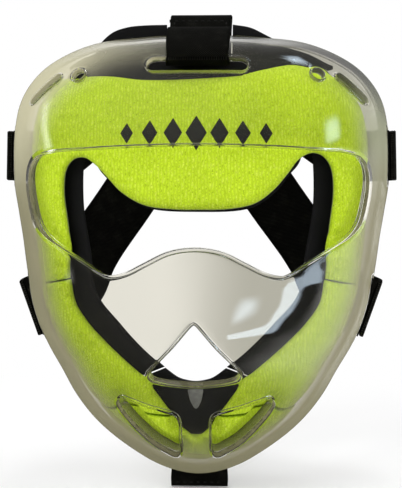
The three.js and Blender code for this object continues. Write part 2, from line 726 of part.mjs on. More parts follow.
// Edge view of a strip of a thickness along part of a curve, square or with a half-round start.
function stripOutline(curve, { from = 0, to = 1, offset = 0, thickness, roundStart = false, steps = 14 }) {
  const upper = [];
  const lower = [];
  for (let i = 0; i <= steps; i += 1) {
    const at = from + ((to - from) * i) / steps;
    const p = curve.getPointAt(at);
    const tangent = curve.getTangentAt(at);
    const side = new THREE.Vector2(-tangent.y, tangent.x);
    const centre = new THREE.Vector2(p.x, p.y);
    upper.push(centre.clone().addScaledVector(side, offset + thickness / 2));
    lower.push(centre.clone().addScaledVector(side, offset - thickness / 2));
  }
  const round = [];
  if (roundStart) {
    const start = curve.getPointAt(from);
    const tangent = curve.getTangentAt(from);
    const facing = Math.atan2(tangent.y, tangent.x);
    for (let i = 1; i < ROUND_STEPS; i += 1) {
      const angle = facing + Math.PI * 1.5 - (Math.PI * i) / ROUND_STEPS;
      const rim = new THREE.Vector2(Math.cos(angle), Math.sin(angle)).multiplyScalar(thickness / 2);
      round.push(rim.add(new THREE.Vector2(start.x, start.y)));
    }
  }
  return [...upper, ...lower.toReversed(), ...round];
}

// A return tab, hinged where it leaves the slot and closed onto the strap behind the rim.
function tabGeometry(seat) {
  const curve = planeCurve(tabPath(seat));
  const outline = stripOutline(curve, { thickness: TAB_THICKNESS, roundStart: true, steps: 18 });
  return extrudeAcross(seat, outline, seat.strapWidth);
}

// The hook patch sewn under the tab's free end.
function tabPatchGeometry(seat) {
  const curve = planeCurve(tabPath(seat));
  const length = curve.getLength();
  const to = 1 - PATCH_END_MARGIN / length;
  const from = to - Math.min(PATCH_LENGTH, seat.lay * PATCH_LAY_SHARE) / length;
  const offset = -(TAB_THICKNESS + PATCH_THICKNESS) / 2 - TOUCH_GAP;
  const outline = stripOutline(curve, { from, to, offset, thickness: PATCH_THICKNESS, steps: 6 });
  return extrudeAcross(seat, outline, seat.strapWidth - 2 * PATCH_SIDE_MARGIN);
}

// The rear panel hangs a little to one side: how far, by depth.
function rearLean(depth) {
  return -REAR_LEAN * THREE.MathUtils.smoothstep(depth, REAR_DEPTH / 2, REAR_DEPTH);
}

const STRAP_END_DEPTH = REAR_DEPTH - TOUCH_GAP - STRAP_THICKNESS / 2;

// Middles of a strap from the slot to its end, held flat where it lies under the rear panel.
function strapMiddles(seat, pathShares, side) {
  const inPlane = strapPath(seat).map(seat.toSpace);
  const free = pathShares.map(([across, back, up]) => {
    const p = place([across * side, up]);
    return new THREE.Vector3(p.x + rearLean(back * REAR_DEPTH), back * STRAP_END_DEPTH, p.y);
  });
  const curve = new THREE.CatmullRomCurve3([...inPlane, ...free], false, 'centripetal');
  const segments = inPlane.length + free.length - 1;
  const middles = [];
  for (let i = 0; i <= inPlane.length - 1; i += 0.5) middles.push(curve.getPoint(i / segments));
  const inPlaneCount = middles.length;
  for (let i = 1; i <= free.length * STRAP_FREE_STEPS; i += 1) {
    middles.push(curve.getPoint((inPlane.length - 1 + i / STRAP_FREE_STEPS) / segments));
  }
  for (const middle of middles) middle.y = Math.min(middle.y, STRAP_END_DEPTH);
  return { middles, inPlaneCount };
}

// An elastic strap from the slot to the rear panel: a flat ribbon whose width turns as it goes.
function strapGeometry(seat, pathShares, side) {
  const { middles, inPlaneCount } = strapMiddles(seat, pathShares, side);
  const last = middles.length - 1;
  const endRun = middles[last].clone().sub(middles[last - 1]);
  const endAcross = new THREE.Vector3(0, 1, 0).cross(endRun).normalize();
  const sign = Math.sign(seat.lengthwise.dot(endAcross));
  const rings = middles.map((middle, i) => {
    const tangent = middles[Math.min(i + 1, last)].clone().sub(middles[Math.max(i - 1, 0)]).normalize();
    const blend = THREE.MathUtils.smoothstep(i, inPlaneCount - 1, last - 3);
    const across = seat.lengthwise.clone().multiplyScalar(sign).lerp(endAcross, blend);
    across.addScaledVector(tangent, -across.dot(tangent) * (1 - blend)).normalize();
    const normal = new THREE.Vector3().crossVectors(tangent, across).normalize();
    const corner = (a, n) => middle.clone()
      .addScaledVector(across, (a * seat.strapWidth) / 2)
      .addScaledVector(normal, (n * STRAP_THICKNESS) / 2);
    return [corner(-1, -1), corner(1, -1), corner(1, 1), corner(-1, 1)];
  });
  return ringSolid(rings);
}

// The liner

// A padded strip that follows the inside of the shell between two edges.
function linerGeometry(shares, { steps, ...layer }) {
  const edge = (index) => new THREE.CatmullRomCurve3(shares.map((pair) => {
    const p = place(pair[index]);
    return new THREE.Vector3(p.x, 0, p.y);
  }), false, 'centripetal');
  const outer = edge(0);
  const inner = edge(1);
  const middles = [];
  for (let i = 0; i <= steps; i += 1) {
    middles.push(outer.getPoint(i / steps).lerp(inner.getPoint(i / steps), 0.5));
  }
  const rings = [];
  for (let i = 0; i <= steps; i += 1) {
    const toEnd = Math.min(middles[i].distanceTo(middles[0]), middles[i].distanceTo(middles[steps]));
    const endShare = Math.min(toEnd / END_ROUND, 1);
    const fullness = STRIP_END_SHARE + (1 - STRIP_END_SHARE) * Math.sqrt(1 - (1 - endShare) ** 2);
    rings.push(linerRing(outer.getPoint(i / steps), inner.getPoint(i / steps), fullness, layer));
  }
  return ringSolid(rings);
}

// One cross-section of a liner piece: full in its middle, drawn in to a seam at both edges.
function linerRing(from, to, fullness, { depth, thickness, round, seam, spans }) {
  const width = from.distanceTo(to);
  const soft = Math.min(round / width, MOST_SOFT_SHARE);
  const shares = [0, soft * SOFT_STEP_SHARE, soft];
  for (let i = 1; i < spans; i += 1) shares.push(soft + ((1 - 2 * soft) * i) / spans);
  shares.push(1 - soft, 1 - soft * SOFT_STEP_SHARE, 1);
  const front = [];
  const back = [];
  for (const share of shares) {
    const p = from.clone().lerp(to, share);
    const wall = shellPoint(p.x, p.z, -WALL - LINER_GAP);
    const clear = depth > 0 ? wall.clone() : linerPoint(p.x, p.z);
    const inFromEdge = Math.min(Math.min(share, 1 - share) / soft, 1);
    const swell = Math.sqrt(1 - (1 - inFromEdge) ** 2) * fullness;
    const drawnIn = ((thickness - (clear.y - wall.y) - seam) * (1 - swell)) / 2;
    front.push(clear.add(new THREE.Vector3(0, depth + drawnIn, 0)));
    back.push(wall.add(new THREE.Vector3(0, depth + thickness - drawnIn, 0)));
  }
  return [...front, ...back.toReversed()];
}

const PAD_LAYER = { depth: 0, thickness: PAD_THICKNESS, round: PAD_ROUND, seam: PAD_SEAM, spans: 5 };
const BACKING_LAYER = {
  depth: PAD_THICKNESS + LAYER_GAP,
  thickness: BACKING_THICKNESS,
  round: BACKING_ROUND,
  seam: BACKING_SEAM,
  spans: 3,
};

function mirroredPairs(shares) {
  return shares.map(([outer, inner]) => [mirrored(outer), mirrored(inner)]);
}

// A piece that crosses the middle line, from its right half, which ends on that line.
function wholePairs(shares) {
  return [...shares, ...mirroredPairs(shares.slice(0, -1)).reverse()];
}

// The rim's depth above a place of the crown.
function crownRimDepth(x) {
  let low = 0;
  let high = Math.PI;
  for (let i = 0; i < BISECTIONS; i += 1) {
    const middle = (low + high) / 2;
    if (rimRadius(middle) * Math.cos(middle) > x) low = middle;
    else high = middle;
  }
  return turnedPoint(low, Math.PI / 2).y;
}

// A thin upright flap that follows the rim's curve, with a notch for the crown strap.
function crownFlapGeometry() {
  const rings = CROWN_FLAP_SHARES.map(([across, upper, lower]) => {
    const x = across * HALF_WIDTH;
    const front = crownRimDepth(x) + FLAP_BEHIND_RIM;
    const back = front + FLAP_THICKNESS;
    return [
      new THREE.Vector3(x, front, upper * CROWN_HEIGHT),
      new THREE.Vector3(x, front, lower * CROWN_HEIGHT),
      new THREE.Vector3(x, back, lower * CROWN_HEIGHT),
      new THREE.Vector3(x, back, upper * CROWN_HEIGHT),
    ];
  });
  return ringSolid(rings);
}

// The pull tab's root lies just behind the chin's rim.
function chinTabHinge() {
  const depth = turnedPoint(-Math.PI / 2, Math.PI / 2).y + TOUCH_GAP + CHIN_TAB_THICKNESS / 2;
  return new THREE.Vector2(depth, -CHIN_DROP + WALL / 2);
}

function chinTabGeometry() {
  const hinge = chinTabHinge();
  const half = CHIN_TAB_THICKNESS / 2;
  const shape = new THREE.Shape();
  shape.moveTo(hinge.x + half, hinge.y);
  shape.absarc(hinge.x, hinge.y, half, 0, Math.PI);
  shape.lineTo(hinge.x - half, hinge.y - CHIN_TAB_LENGTH);
  shape.lineTo(hinge.x + half, hinge.y - CHIN_TAB_LENGTH);
  const settings = { depth: CHIN_TAB_WIDTH, bevelEnabled: false, curveSegments: 8 };
  const geometry = new THREE.ExtrudeGeometry(shape, settings);
  geometry.translate(0, 0, -CHIN_TAB_WIDTH / 2);
  const basis = new THREE.Matrix4().makeBasis(
    new THREE.Vector3(0, 1, 0),
    new THREE.Vector3(0, 0, 1),
    new THREE.Vector3(1, 0, 0),
  );
  geometry.applyMatrix4(basis);
  return geometry;
}

function chinPatchGeometry() {
  const half = CHIN_PATCH_WIDTH / 2;
  const shoulder = -CHIN_PATCH_TOP - CHIN_PATCH_HEIGHT * CHIN_PATCH_SHOULDER_SHARE;
  const corners = [
    new THREE.Vector2(-half, -CHIN_PATCH_TOP),
    new THREE.Vector2(half, -CHIN_PATCH_TOP),
    new THREE.Vector2(half * CHIN_PATCH_SIDE_SHARE, shoulder),
    new THREE.Vector2(0, -CHIN_PATCH_TOP - CHIN_PATCH_HEIGHT),
    new THREE.Vector2(-half * CHIN_PATCH_SIDE_SHARE, shoulder),
  ];
  const front = BACKING_LAYER.depth - 2 * TOUCH_GAP;
  const level = (depth) => corners.map((p) => {
    const wall = shellPoint(p.x, p.y, -WALL - LINER_GAP);
    return wall.add(new THREE.Vector3(0, depth, 0));
  });
  return ringSolid([level(front - CHIN_PATCH_THICKNESS), level(front)]);
}

// The shell

function shellGeometry() {
  const ringAt = (turn, h) => Array.from({ length: AROUND }, (_, i) => (
    turnedPointAt((i / AROUND) * 2 * Math.PI, turn, h)
  ));
  const turns = Array.from({ length: SHELL_RINGS }, (_, i) => ((i + 1) / SHELL_RINGS) * (Math.PI / 2));
  const outer = turns.map((turn) => ringAt(turn, 0));
  const inner = turns.toReversed().map((turn) => ringAt(turn, -WALL));
  let solid = toSolid(ringSolid([...outer, ...inner], shellPoint(0, 0, 0), shellPoint(0, 0, -WALL)));

  for (const { outline, lip } of OPENINGS) solid = solid.add(toSolid(lipBand(outline, lip)));
  for (const { outline, centre } of OPENINGS) solid = solid.subtract(toSolid(throughCutter(outline, centre)));
  for (const cutter of slotCutters()) solid = solid.subtract(toSolid(cutter));
  return fromSolid(solid.simplify(FACET_TOLERANCE));
}

function slotCutters() {
  const seats = [crownSeat, templeSeats.right, templeSeats.left, cheekSeats.right, cheekSeats.left];
  const cutters = seats.map((seat) => {
    const centre = seat.toSpace(seat.slot);
    const normal = seat.toSpace(seat.slot.clone().add(seat.normal)).sub(centre);
    const size = { length: seat.slotLength, width: seat.slotWidth, corner: seat.slotCorner };
    return straightCutter(centre, normal, seat.lengthwise, size);
  });
  for (const side of [1, -1]) {
    const hole = place(VENT_HOLE_SHARES);
    hole.x *= side;
    const spare = place(SPARE_SLOT_SHARES);
    spare.x *= side;
    const level = new THREE.Vector3(1, 0, 0);
    const lean = new THREE.Vector3(side * Math.cos(SPARE_SLOT_LEAN), 0, Math.sin(SPARE_SLOT_LEAN));
    cutters.push(frontCutter(hole, level, { length: VENT_HOLE, width: VENT_HOLE }));
    cutters.push(frontCutter(spare, lean, { length: SPARE_SLOT_LENGTH, width: SPARE_SLOT_WIDTH }));
  }
  return cutters;
}

// A straight cutter at a place of the front view, its length laid along the surface.
function frontCutter(p, direction, size) {
  const centre = shellPoint(p.x, p.y, 0);
  const normal = shellPoint(p.x, p.y, 1).sub(centre);
  const lengthwise = direction.clone().addScaledVector(normal, -direction.dot(normal)).normalize();
  return straightCutter(centre, normal, lengthwise, size);
}

// The rear of the harness

const REAR_MIDDLE = REAR_BOTTOM + REAR_HEIGHT / 2;

function rearPanelGeometry() {
  const shape = roundedPlate(REAR_WIDTH, REAR_HEIGHT, REAR_CORNER);
  const settings = { depth: REAR_THICKNESS, bevelEnabled: false, curveSegments: 5 };
  const geometry = new THREE.ExtrudeGeometry(shape, settings);
  geometry.rotateX(Math.PI / 2);
  geometry.translate(-REAR_LEAN, REAR_DEPTH + REAR_THICKNESS, REAR_MIDDLE);
  return geometry;
}

// The pad lies in front of the strap ends, with a crown and a seam round its edge.
function rearPadGeometry() {
  const width = REAR_WIDTH - 2 * REAR_PAD_MARGIN;
  const height = REAR_HEIGHT - REAR_PAD_BOTTOM_MARGIN - REAR_PAD_TOP_MARGIN;
  const back = REAR_DEPTH - 2 * TOUCH_GAP - STRAP_THICKNESS;
  const outline = roundedPlate(width, height, REAR_CORNER).getPoints(PAD_CORNER_STEPS);
  const ringAt = (scale, depth) => outline.map((p) => new THREE.Vector3(
    p.x * scale - REAR_LEAN,
    back - depth * REAR_PAD_THICKNESS,
    p.y * scale + REAR_BOTTOM + REAR_PAD_BOTTOM_MARGIN + height / 2,
  ));
  return ringSolid(REAR_PAD_RING_SHARES.map(([scale, depth]) => ringAt(scale, depth)));
}

// The assembly

function part(name, geometry, finish) {
  const mesh = new THREE.Mesh(geometry, new THREE.MeshStandardMaterial(FINISHES[finish]));
  mesh.name = name;
  return mesh;
}

const mask = new THREE.Group();

function padPart(name, shares, steps) {
  return part(name, linerGeometry(shares, { ...PAD_LAYER, steps }), 'mesh');
}

function backingPart(name, shares, steps) {
  return part(name, linerGeometry(shares, { ...BACKING_LAYER, steps }), 'lining');
}

const liner = new THREE.Group();
liner.add(padPart('brow_pad', BROW_PAD_SHARES, 54));
liner.add(padPart('chin_pad', wholePairs(CHIN_PAD_SHARES), 22));
liner.add(backingPart('brow_backing', BROW_BACKING_SHARES, 22));
liner.add(backingPart('chin_backing', wholePairs(CHIN_BACKING_SHARES), 18));
liner.add(part('crown_flap', crownFlapGeometry(), 'lining'));
liner.add(part('chin_patch', chinPatchGeometry(), 'patch'));
liner.add(part('chin_pull_tab', chinTabGeometry(), 'webbing'));

const harness = new THREE.Group();
harness.add(part('crown_strap', strapGeometry(crownSeat, CROWN_PATH_SHARES, 1), 'webbing'));
harness.add(part('crown_tab', tabGeometry(crownSeat), 'webbing'));
harness.add(part('crown_tab_hook_patch', tabPatchGeometry(crownSeat), 'hook'));
harness.add(part('rear_panel', rearPanelGeometry(), 'webbing'));
harness.add(part('rear_panel_pad', rearPadGeometry(), 'lining'));

for (const side of ['left', 'right']) {
  const sign = side === 'right' ? 1 : -1;
  const onSide = (shares) => (sign > 0 ? shares : mirroredPairs(shares));
  const temple = templeSeats[side];
  const cheek = cheekSeats[side];
  liner.add(padPart(`cheek_pad_${side}`, onSide(CHEEK_PAD_SHARES), 20));
  liner.add(backingPart(`side_backing_${side}`, onSide(SIDE_BACKING_SHARES), 20));
  harness.add(part(`temple_strap_${side}`, strapGeometry(temple, TEMPLE_PATH_SHARES, sign), 'webbing'));
  harness.add(part(`temple_tab_${side}`, tabGeometry(temple), 'webbing'));
  harness.add(part(`temple_tab_hook_patch_${side}`, tabPatchGeometry(temple), 'hook'));
  harness.add(part(`cheek_strap_${side}`, strapGeometry(cheek, CHEEK_PATH_SHARES, sign), 'webbing'));
  harness.add(part(`cheek_tab_${side}`, tabGeometry(cheek), 'webbing'));
  harness.add(part(`cheek_tab_hook_patch_${side}`, tabPatchGeometry(cheek), 'hook'));
}

mask.add(part('shell', shellGeometry(), 'shell'), liner, harness);

export default mask;
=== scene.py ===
"""Looks of a field hockey face mask: clear moulded shell, padded mesh liner and five-strap elastic harness.

Lengths are worked out in millimetres and turned into metres when a piece is finished. X is to the
viewer's right, Y runs back towards the wearer and Z is up, as in the solid model of the mask.
"""

import logging
import math
from collections.abc import Callable, Mapping, Sequence
from dataclasses import dataclass, field
from enum import Enum

import bmesh
import bpy
import numpy as np
from mathutils import Matrix, Vector, geometry, noise

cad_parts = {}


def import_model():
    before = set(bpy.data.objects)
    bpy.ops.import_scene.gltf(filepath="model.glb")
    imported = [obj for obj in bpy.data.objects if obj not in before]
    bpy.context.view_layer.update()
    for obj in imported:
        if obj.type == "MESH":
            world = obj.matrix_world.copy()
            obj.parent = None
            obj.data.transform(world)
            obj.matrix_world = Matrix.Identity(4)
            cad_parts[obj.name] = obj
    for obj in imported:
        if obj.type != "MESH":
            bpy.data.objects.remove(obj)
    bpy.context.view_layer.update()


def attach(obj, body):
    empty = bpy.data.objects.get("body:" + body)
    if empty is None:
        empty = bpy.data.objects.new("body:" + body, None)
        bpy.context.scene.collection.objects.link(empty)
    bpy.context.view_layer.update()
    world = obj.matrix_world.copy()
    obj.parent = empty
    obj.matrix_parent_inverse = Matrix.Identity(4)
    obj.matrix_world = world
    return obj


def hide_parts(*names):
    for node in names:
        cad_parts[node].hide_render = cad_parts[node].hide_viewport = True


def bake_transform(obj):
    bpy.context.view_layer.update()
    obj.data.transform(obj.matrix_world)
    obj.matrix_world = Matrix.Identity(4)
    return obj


LOG = logging.getLogger("face_mask")
MM = 0.001
TINY = 1e-6
HALVINGS = 40
TURN = 2 * math.pi
SHARP = 60.0
Points = np.ndarray
Colour = tuple[float, float, float]
Share = tuple[float, float]
Pairs = tuple[tuple[float, float, float, float], ...]
Lips = Sequence[tuple[Points, Points]]
Mesh = bmesh.types.BMesh
Vert = bmesh.types.BMVert
Material = bpy.types.Material
Piece = bpy.types.Object


class Body(Enum):
    """Bodies that pieces ride on."""

    SHELL = "shell_and_liner"
    HARNESS = "harness"
    CROWN_END = "crown_strap_end"
    TEMPLE_END_LEFT = "temple_strap_end_left"
    TEMPLE_END_RIGHT = "temple_strap_end_right"
    CHEEK_END_LEFT = "cheek_strap_end_left"
    CHEEK_END_RIGHT = "cheek_strap_end_right"
    CHIN_PULL = "chin_pull"


class Slot(Enum):
    """Material slots of the record."""

    SHELL = "clear_shell"
    MESH = "spacer_mesh"
    LINING = "lining"
    WEBBING = "webbing"
    PATCH = "grey_patch"


class Side(Enum):
    """Side of the mask as the viewer sees it; the value is the sign of X."""

    LEFT = -1
    RIGHT = 1

    @property
    def word(self) -> str:
        """The side's name as it ends a piece's name."""
        return self.name.lower()


# Curves and tables


def smooth_table(rows: Points, at: Points) -> Points:
    """Reads a table of rising rows with a smooth curve through them.

    Args:
        rows: Rows of (place, value).
        at: Places to read.

    Returns:
        The values at those places.
    """
    rows = np.asarray(rows, float)
    at = np.asarray(at, float)
    row = np.clip(np.searchsorted(rows[:, 0], at, side="left") - 1, 0, len(rows) - 2)
    before, start = rows[np.maximum(row - 1, 0)], rows[row]
    end, after = rows[row + 1], rows[np.minimum(row + 2, len(rows) - 1)]
    span = end[..., 0] - start[..., 0]
    t = np.clip((at - start[..., 0]) / span, 0, 1)
    slope_in = (end[..., 1] - before[..., 1]) / (end[..., 0] - before[..., 0]) * span
    slope_out = (after[..., 1] - start[..., 1]) / (after[..., 0] - start[..., 0]) * span
    t2, t3 = t * t, t * t * t
    value = (2 * t3 - 3 * t2 + 1) * start[..., 1] + (t3 - 2 * t2 + t) * slope_in
    return value + (3 * t2 - 2 * t3) * end[..., 1] + (t3 - t2) * slope_out


def curve_points(points: Points, per_span: int, closed: bool = False) -> Points:
    """Points of a centripetal Catmull-Rom curve.

    Args:
        points: The points that the curve passes through.
        per_span: Steps from each point to the next.
        closed: Whether the last point leads back to the first.

    Returns:
        The points of the curve, without a repeated end where it is closed.
    """
    points = np.asarray(points, float)
    if closed:
        padded = np.concatenate([points[-1:], points, points[:2]])
    else:
        padded = np.concatenate([[2 * points[0] - points[1]], points, [2 * points[-1] - points[-2]]])
    before, start, end, after = padded[:-3], padded[1:-2], padded[2:-1], padded[3:]
    gap_0, gap_1, gap_2 = (
        np.maximum(np.sqrt(np.linalg.norm(b - a, axis=1)), TINY)[:, None]
        for a, b in ((before, start), (start, end), (end, after))
    )
    slope_in = (start - before) / gap_0 - (end - before) / (gap_0 + gap_1) + (end - start) / gap_1
    slope_out = (end - start) / gap_1 - (after - start) / (gap_1 + gap_2) + (after - end) / gap_2
    t = (np.arange(per_span) / per_span)[None, :, None]
    start, end = start[:, None], end[:, None]
    slope_in, slope_out = (slope_in * gap_1)[:, None], (slope_out * gap_1)[:, None]
    spans = (2 * t**3 - 3 * t**2 + 1) * start + (t**3 - 2 * t**2 + t) * slope_in
    spans = spans + (3 * t**2 - 2 * t**3) * end + (t**3 - t**2) * slope_out
    made = spans.reshape(-1, points.shape[1])
    return made if closed else np.concatenate([made, points[-1:]])


def lengths_along(points: Points) -> Points:
    """Distance of each point of a line from its start."""
    return np.concatenate([[0.0], np.cumsum(np.linalg.norm(np.diff(points, axis=0), axis=1))])


def at_lengths(points: Points, along: Points) -> Points:
    """Points of a line at given distances from its start."""
    run = lengths_along(points)
    return np.stack([np.interp(along, run, points[:, i]) for i in range(points.shape[1])], -1)


def spaced(points: Points, count: int, closed: bool = False) -> Points:
    """Evenly spaced points along a line.

    Args:
        points: The line.
        count: How many points to make.
        closed: Whether the line closes on itself.

    Returns:
        The points, without a repeated end where the line is closed.
    """
    line = np.concatenate([points, points[:1]]) if closed else points
    total = lengths_along(line)[-1]
    along = np.linspace(0, total, count + 1)[:-1] if closed else np.linspace(0, total, count)
    return at_lengths(line, along)


def smoothstep(value: float, low: float, high: float) -> float:
    """A smooth rise from 0 at low to 1 at high."""
    t = min(max((value - low) / (high - low), 0.0), 1.0)
    return t * t * (3 - 2 * t)


def unit(vectors: Points) -> Points:
    """The vectors at a length of one."""
    return vectors / np.maximum(np.linalg.norm(vectors, axis=-1, keepdims=True), TINY)


def offset_outline(outline: Points, distance: float) -> Points:
    """A closed outline moved outwards.

    Args:
        outline: Points of the outline in a plane.
        distance: How far, or inwards if it is below zero.

    Returns:
        The moved points.
    """
    ahead, behind = np.roll(outline, -1, axis=0), np.roll(outline, 1, axis=0)
    turning = np.sum(outline[:, 0] * ahead[:, 1] - outline[:, 1] * ahead[:, 0])
    along = unit(ahead - behind)
    outwards = np.stack([along[:, 1], -along[:, 0]], -1) * np.sign(turning)
    return outline + outwards * distance


def halved(low: float, high: float, past: Callable[[float], bool]) -> float:
    """Halves a range down to where a test starts to hold.

    Args:
        low: A value at which it doesn't hold.
        high: A value at which it holds.
        past: The test.

    Returns:
        The greatest value found at which it doesn't hold.
    """
    for _ in range(HALVINGS):
        middle = (low + high) / 2
        low, high = (low, middle) if past(middle) else (middle, high)
    return low


def inside_outline(points: Points, outline: Points) -> Points:
    """Which points lie inside a closed outline.

    Args:
        points: Points in the outline's plane.
        outline: The outline's points.

    Returns:
        True for each point inside.
    """
    x, y = points[:, 0][:, None], points[:, 1][:, None]
    ahead = np.roll(outline, -1, axis=0)
    x0, y0, x1, y1 = outline[:, 0], outline[:, 1], ahead[:, 0], ahead[:, 1]
    spans = (y0 <= y) != (y1 <= y)
    crossing = x0 + (y - y0) * (x1 - x0) / np.where(np.abs(y1 - y0) < TINY, TINY, y1 - y0)
    return np.sum(spans & (x < crossing), axis=1) % 2 == 1


def inside_field(points: Points, rim: Points, holes: Sequence[Points]) -> Points:
    """Which points lie inside a rim and outside all holes in it."""
    return inside_outline(points, rim) & ~np.any([inside_outline(points, hole) for hole in holes], axis=0)


def rounded_outline(width: float, height: float, corner: float, steps: int = 8) -> Points:
    """Points of a rectangle with rounded corners, centred on the origin.

    Args:
        width: Size across.
        height: Size up.
        corner: Radius of the corners.
        steps: Points to a corner.

    Returns:
        The outline's points.
    """
    made = []
    for quarter in range(4):
        angles = (quarter + np.linspace(0, 1, steps)) * math.pi / 2
        x = (width / 2 - corner) * (1 if quarter in (0, 3) else -1)
        y = (height / 2 - corner) * (1 if quarter in (0, 1) else -1)
        made.append(np.stack([x + corner * np.cos(angles), y + corner * np.sin(angles)], -1))
    return np.concatenate(made)


# Meshes


def followers(loop: Sequence[Vert], made: set) -> list[Vert]:
    """The vertices of an extruded loop, in the order of the loop that they came from."""
    return [next(e.other_vert(v) for e in v.link_edges if e.other_vert(v) in made) for v in loop]


def loop_edges(bm: Mesh, loop: Sequence[Vert]) -> list:
    """The edges round a closed loop of vertices."""
    return [bm.edges.get((loop[i - 1], loop[i])) for i in range(len(loop))]


def extend_loop(bm: Mesh, loop: Sequence, places: Points) -> list[Vert]:
    """Extrudes a closed loop of vertices to new places.

    Args:
        bm: The mesh.
        loop: The loop's vertices in order.
        places: Where each new vertex goes.

    Returns:
        The new loop.
    """
    made = bmesh.ops.extrude_edge_only(bm, edges=loop_edges(bm, loop))["geom"]
    ahead = followers(loop, {v for v in made if isinstance(v, Vert)})
    for vert, place in zip(ahead, places):
        vert.co = place
    return ahead


def start_loop(bm: Mesh, places: Points) -> list[Vert]:
    """A closed loop of vertices joined by edges.

    Args:
        bm: The mesh.
        places: Places of the vertices.

    Returns:
        The loop's vertices.
    """
    loop = [bm.verts.new(place) for place in places]
    for i in range(len(loop)):
        bm.edges.new((loop[i - 1], loop[i]))
    return loop


def sweep(
    bm: Mesh, rings: Sequence[Points], uvs: Sequence[Points] | None = None, joined: bool = False
) -> None:
    """Extrudes a ring along a run of places for it, and closes both ends.

    Args:
        bm: The mesh to add to.
        rings: Places of the ring's points at each step.
        uvs: Cloth coordinates of those points, each ring with its first point's again at the end.
        joined: Whether the last ring lies on the first, where the body closes on itself.
    """
    old = set(bm.faces)
    laid = [start_loop(bm, rings[0])]
    for ring in rings[1:]:
        laid.append(extend_loop(bm, laid[-1], ring))
    if not joined:
        for end in (laid[0], laid[-1]):
            bmesh.ops.contextual_create(bm, geom=loop_edges(bm, end))
    if uvs is not None:
        spots = {vert: (i, j) for i, ring in enumerate(laid) for j, vert in enumerate(ring)}
        layer = bm.loops.layers.uv.verify()
        count = len(laid[0])
        for face in (face for face in bm.faces if face not in old):
            places = [spots[loop.vert] for loop in face.loops]
            wraps = len(places) == 4 and {0, count - 1} <= {j for _, j in places}
            for loop, (i, j) in zip(face.loops, places):
                loop[layer].uv = uvs[i][count if wraps and j == 0 else j]
    if joined:
        bmesh.ops.remove_doubles(bm, verts=laid[0] + laid[-1], dist=TINY)


def finish_mesh(bm: Mesh, name: str, finish: Material, sharp: float = SHARP) -> Piece:
    """Turns a mesh in millimetres into a piece in metres.

    Args:
        bm: The mesh, which is used up.
        name: The piece's name.
        finish: Its material.
        sharp: Angle in degrees past which an edge shows as sharp.

    Returns:
        The new object.
    """
    bmesh.ops.recalc_face_normals(bm, faces=bm.faces)
    bmesh.ops.scale(bm, vec=(MM, MM, MM), verts=bm.verts)
    mesh = bpy.data.meshes.new(name)
    bm.to_mesh(mesh)
    bm.free()
    mesh.shade_smooth()
    mesh.set_sharp_from_angle(angle=math.radians(sharp))
    mesh.materials.append(finish)
    piece = bpy.data.objects.new(name, mesh)
    bpy.context.scene.collection.objects.link(piece)
    return piece


def settle(
    bm: Mesh, name: str, finish: Material, body: Body, slot: Slot, *nodes: str, sharp: float = SHARP
) -> Piece:
    """Turns a mesh into a piece and puts it on its body.

    Args:
        bm: The mesh, which is used up.
        name: The piece's name.
        finish: Its material.
        body: The body that it rides on.
        slot: Not used.
        nodes: Names of the solids that it stands for.
        sharp: Angle in degrees past which an edge shows as sharp.

    Returns:
        The new piece.
    """
    piece = finish_mesh(bm, name, finish, sharp)
    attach(piece, body.value)
    if nodes:
        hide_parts(*nodes)
    LOG.info("%s rides on %s, %d faces", name, body.value, len(piece.data.polygons))
    return piece


@dataclass(frozen=True)
class Seam:
    """A row of stitches."""

    stitch: float = 2.3
    gap: float = 1.1
    thread: float = 0.42

    def sew(self, bm: Mesh, line: Points) -> None:
        """Adds the row's stitches along a line.

        Args:
            bm: The mesh to add to.
            line: Points of the line on the cloth.
        """
        total = lengths_along(line)[-1]
        count = max(int(total / (self.stitch + self.gap)), 1)
        pitch = total / count
        for i in range(count):
            start, end = at_lengths(line, np.array([i * pitch, i * pitch + self.stitch]))
            along = Vector(end - start)
            turn = along.to_track_quat("X", "Z").to_matrix().to_4x4()
            size = Matrix.Diagonal((along.length / 2, self.thread, self.thread, 1))
            place = Matrix.Translation(Vector((start + end) / 2)) @ turn @ size
            bmesh.ops.create_uvsphere(bm, u_segments=6, v_segments=5, radius=1, matrix=place)


# Shader building


def math_node(operation: str, swapped: bool = False) -> Callable[..., "Value"]:
    """Makes a method of Value that adds a Math node.

    Args:
        operation: The node's operation.
        swapped: Whether the value itself comes last.

    Returns:
        The method.
    """

    def method(value: "Value", *others: "Value | float") -> "Value":
        """The Math node's result."""
        values = (*others, value) if swapped else (value, *others)
        return value.shader.node("ShaderNodeMath", {"operation": operation}, dict(enumerate(values)))

    return method


class Value:
    """One output of a shader; arithmetic on it adds Math nodes."""

    __add__ = __radd__ = math_node("ADD")
    __mul__ = __rmul__ = math_node("MULTIPLY")
    __sub__, __rsub__ = math_node("SUBTRACT"), math_node("SUBTRACT", swapped=True)
    __truediv__, __mod__, __abs__ = math_node("DIVIDE"), math_node("FLOORED_MODULO"), math_node("ABSOLUTE")
    floor, fract, cosine = math_node("FLOOR"), math_node("FRACT"), math_node("COSINE")
    least, most = math_node("MINIMUM"), math_node("MAXIMUM")

    def __init__(self, shader: "Shader", socket: bpy.types.NodeSocket) -> None:
        """Keeps the shader and the socket."""
        self.shader, self.socket = shader, socket

    def rise(self, low: float, high: float) -> "Value":
        """A smooth rise from 0 at low to 1 at high, or a fall where low is the greater."""
        values = {"Value": self, "From Min": low, "From Max": high}
        return self.shader.node("ShaderNodeMapRange", {"interpolation_type": "SMOOTHSTEP"}, values)


